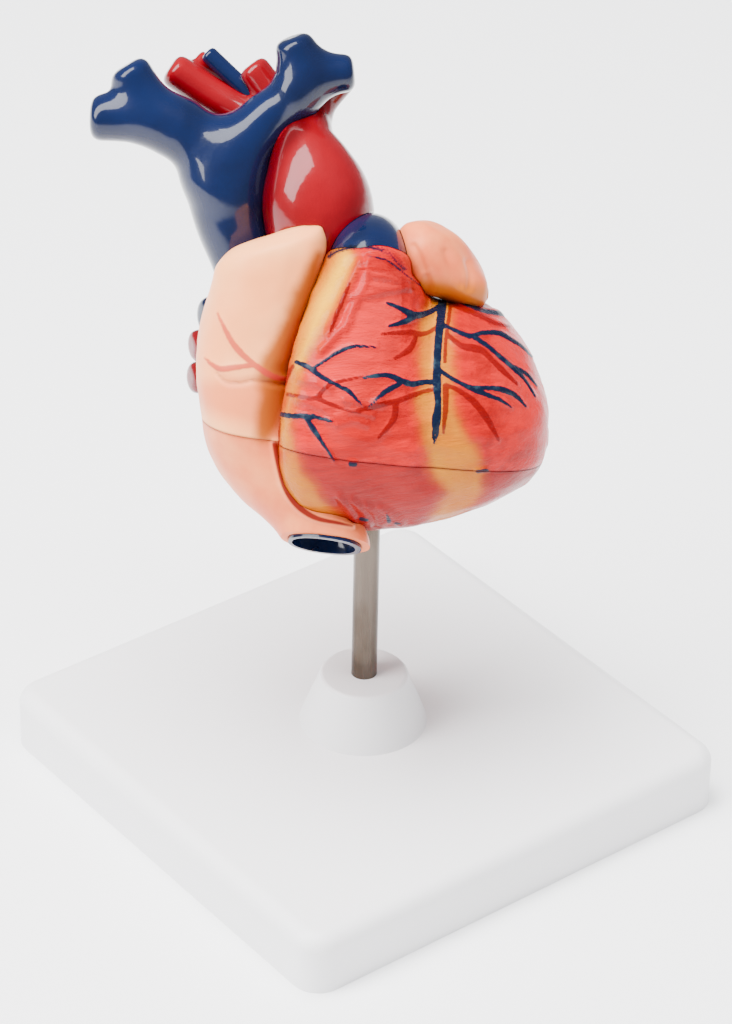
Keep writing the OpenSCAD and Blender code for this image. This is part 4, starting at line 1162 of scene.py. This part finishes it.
# Turned so that its z runs along a valve's flow, as in the part's source
def alongFlow(v):
    way = np.array(v["way"], float)
    way /= np.linalg.norm(way)
    turn = rotation(2, np.degrees(np.arctan2(way[1], way[0]))) @ rotation(1, np.degrees(np.arccos(way[2])))
    return lambda points: points @ turn.T + np.array(v["centre"], float)


# Closed grid of rings, joined around and from the last ring back to the first
def ringed(points):
    n, m = points.shape[:2]
    i, j = np.meshgrid(np.arange(n), np.arange(m), indexing="ij")
    ii, jj = (i + 1) % n, (j + 1) % m
    return Form(points.reshape(-1, 3), np.stack([i * m + j, i * m + jj, ii * m + jj, ii * m + j], -1))


# Leaflets at one angle a: c = cos(cusps a), tip radius r (0.62 + 0.12 c), depth length (0.8 + 0.2 c)
def leaflets(v, m=96, steps=9, thick=0.72):
    a = np.linspace(0, 2 * np.pi, m, endpoint=False)
    c = np.cos(v["cusps"] * a)
    r = v["radius"]
    tip, deep = r * (0.62 + 0.12 * c), v["length"] * (0.8 + 0.2 * c)
    fold = 0.16 * np.sin(9 * a)
    rows = []
    for t in np.linspace(0, 1, steps):
        rows.append((r - 0.25 + (tip - r + 0.25) * t ** 0.8 + fold * t * (1 - t) * 2, 1 + (deep - 1) * t))
    for t in np.linspace(1, 0, steps):
        rows.append((r - 1.75 + (tip - thick - r + 1.75) * t ** 0.8 + fold * t * (1 - t) * 2, deep * t))
    rows += [(np.full(m, r - 1.75), np.full(m, -1.55)), (np.full(m, r - 0.25), np.full(m, -1.55))]
    points = np.stack([np.stack([radius * np.cos(a), radius * np.sin(a), height], -1)
                       for radius, height in rows])
    form = ringed(points)
    form.points = alongFlow(v)(form.points)
    return form


# Half-moon valve: sag = -4.1 sin(180 p) (0.35 + 0.65 |sin 1.5 a|) at the share p of the radius
def halfMoons(v, m=96, steps=14, thick=0.8):
    a = np.linspace(0, 2 * np.pi, m, endpoint=False)
    shares = np.linspace(0.04, 1, steps)
    rings = []
    for lift, order in ((0.05, shares), (thick, shares[::-1])):
        for p in order:
            sag = -4.1 * np.sin(np.pi * p) * (0.35 + 0.65 * np.abs(np.sin(1.5 * a)))
            r = (v["radius"] - 0.2) * p
            rings.append(np.stack([r * np.cos(a), r * np.sin(a), sag + lift], -1))
    form = ringed(np.array(rings))
    form.points = alongFlow(v)(form.points)
    return form


# Papillary muscles with their cords; the upper half's are mirrored at the height middleZ
middleZ, cordRadius = 2.1, 0.42


def muscleForms(upper):
    def side(p):
        return [p[0], p[1], 2 * middleZ - p[2], *p[3:]] if upper else list(p)
    forms = []
    for k, route in enumerate(muscleRoutes):
        root, end = np.array(route[1][:3]), np.array(route[2][:3])
        tip = side(list(end + (root - end) * 0.2))
        ends = lastEndsUpper if upper and k == 2 else [side(p) for p in cordEnds[k]]
        cords = [[[*tip, cordRadius], [*((np.array(tip) + p) / 2), cordRadius * 0.8], [*p, cordRadius]]
                 for p in ends]
        forms.append(tubes([[side(p) for p in route]] + cords, 0.8, 0.3, 5)
                     .shaped(lambda p, n: 0.08 * ripple(p, 3, 50 + k) - 0.1))
    return forms


chambersOf = [(chamber.grown(-glueGap), 0) for chamber in (leftChamber, leftChamber, rightChamber)]
for part, half in (("lower", lowerHalf), ("upper", upperHalf)):
    for name, v in (("tricuspid", tricuspid), ("mitral", mitral)):
        obj = carve(name + "_valve_" + part + "_skin", leaflets(v), keepers=[half], paints=[paint["cream"]])
        sharpen(obj, 45)
        settle(obj, "heart_" + part, "valve_cream", name + "_valve_" + part)
    for k, form in enumerate(muscleForms(part == "upper")):
        obj = carve("papillary_muscle_" + part + "_" + str(k), form, keepers=[chambersOf[k], half],
                    paints=[paint["papillary"]])
        sharpen(obj, 50)
        settle(obj, "heart_" + part, "papillary_pink", "papillary_muscles_" + part)
for name, seat in (("aortic", aorticSeat), ("pulmonary", pulmonarySeat)):
    obj = carve(name + "_valve_skin", halfMoons(seat), paints=[paint["cream"]])
    sharpen(obj, 60)
    settle(obj, "heart_upper", "valve_cream", name + "_valve")

print("stage")
makeStage()
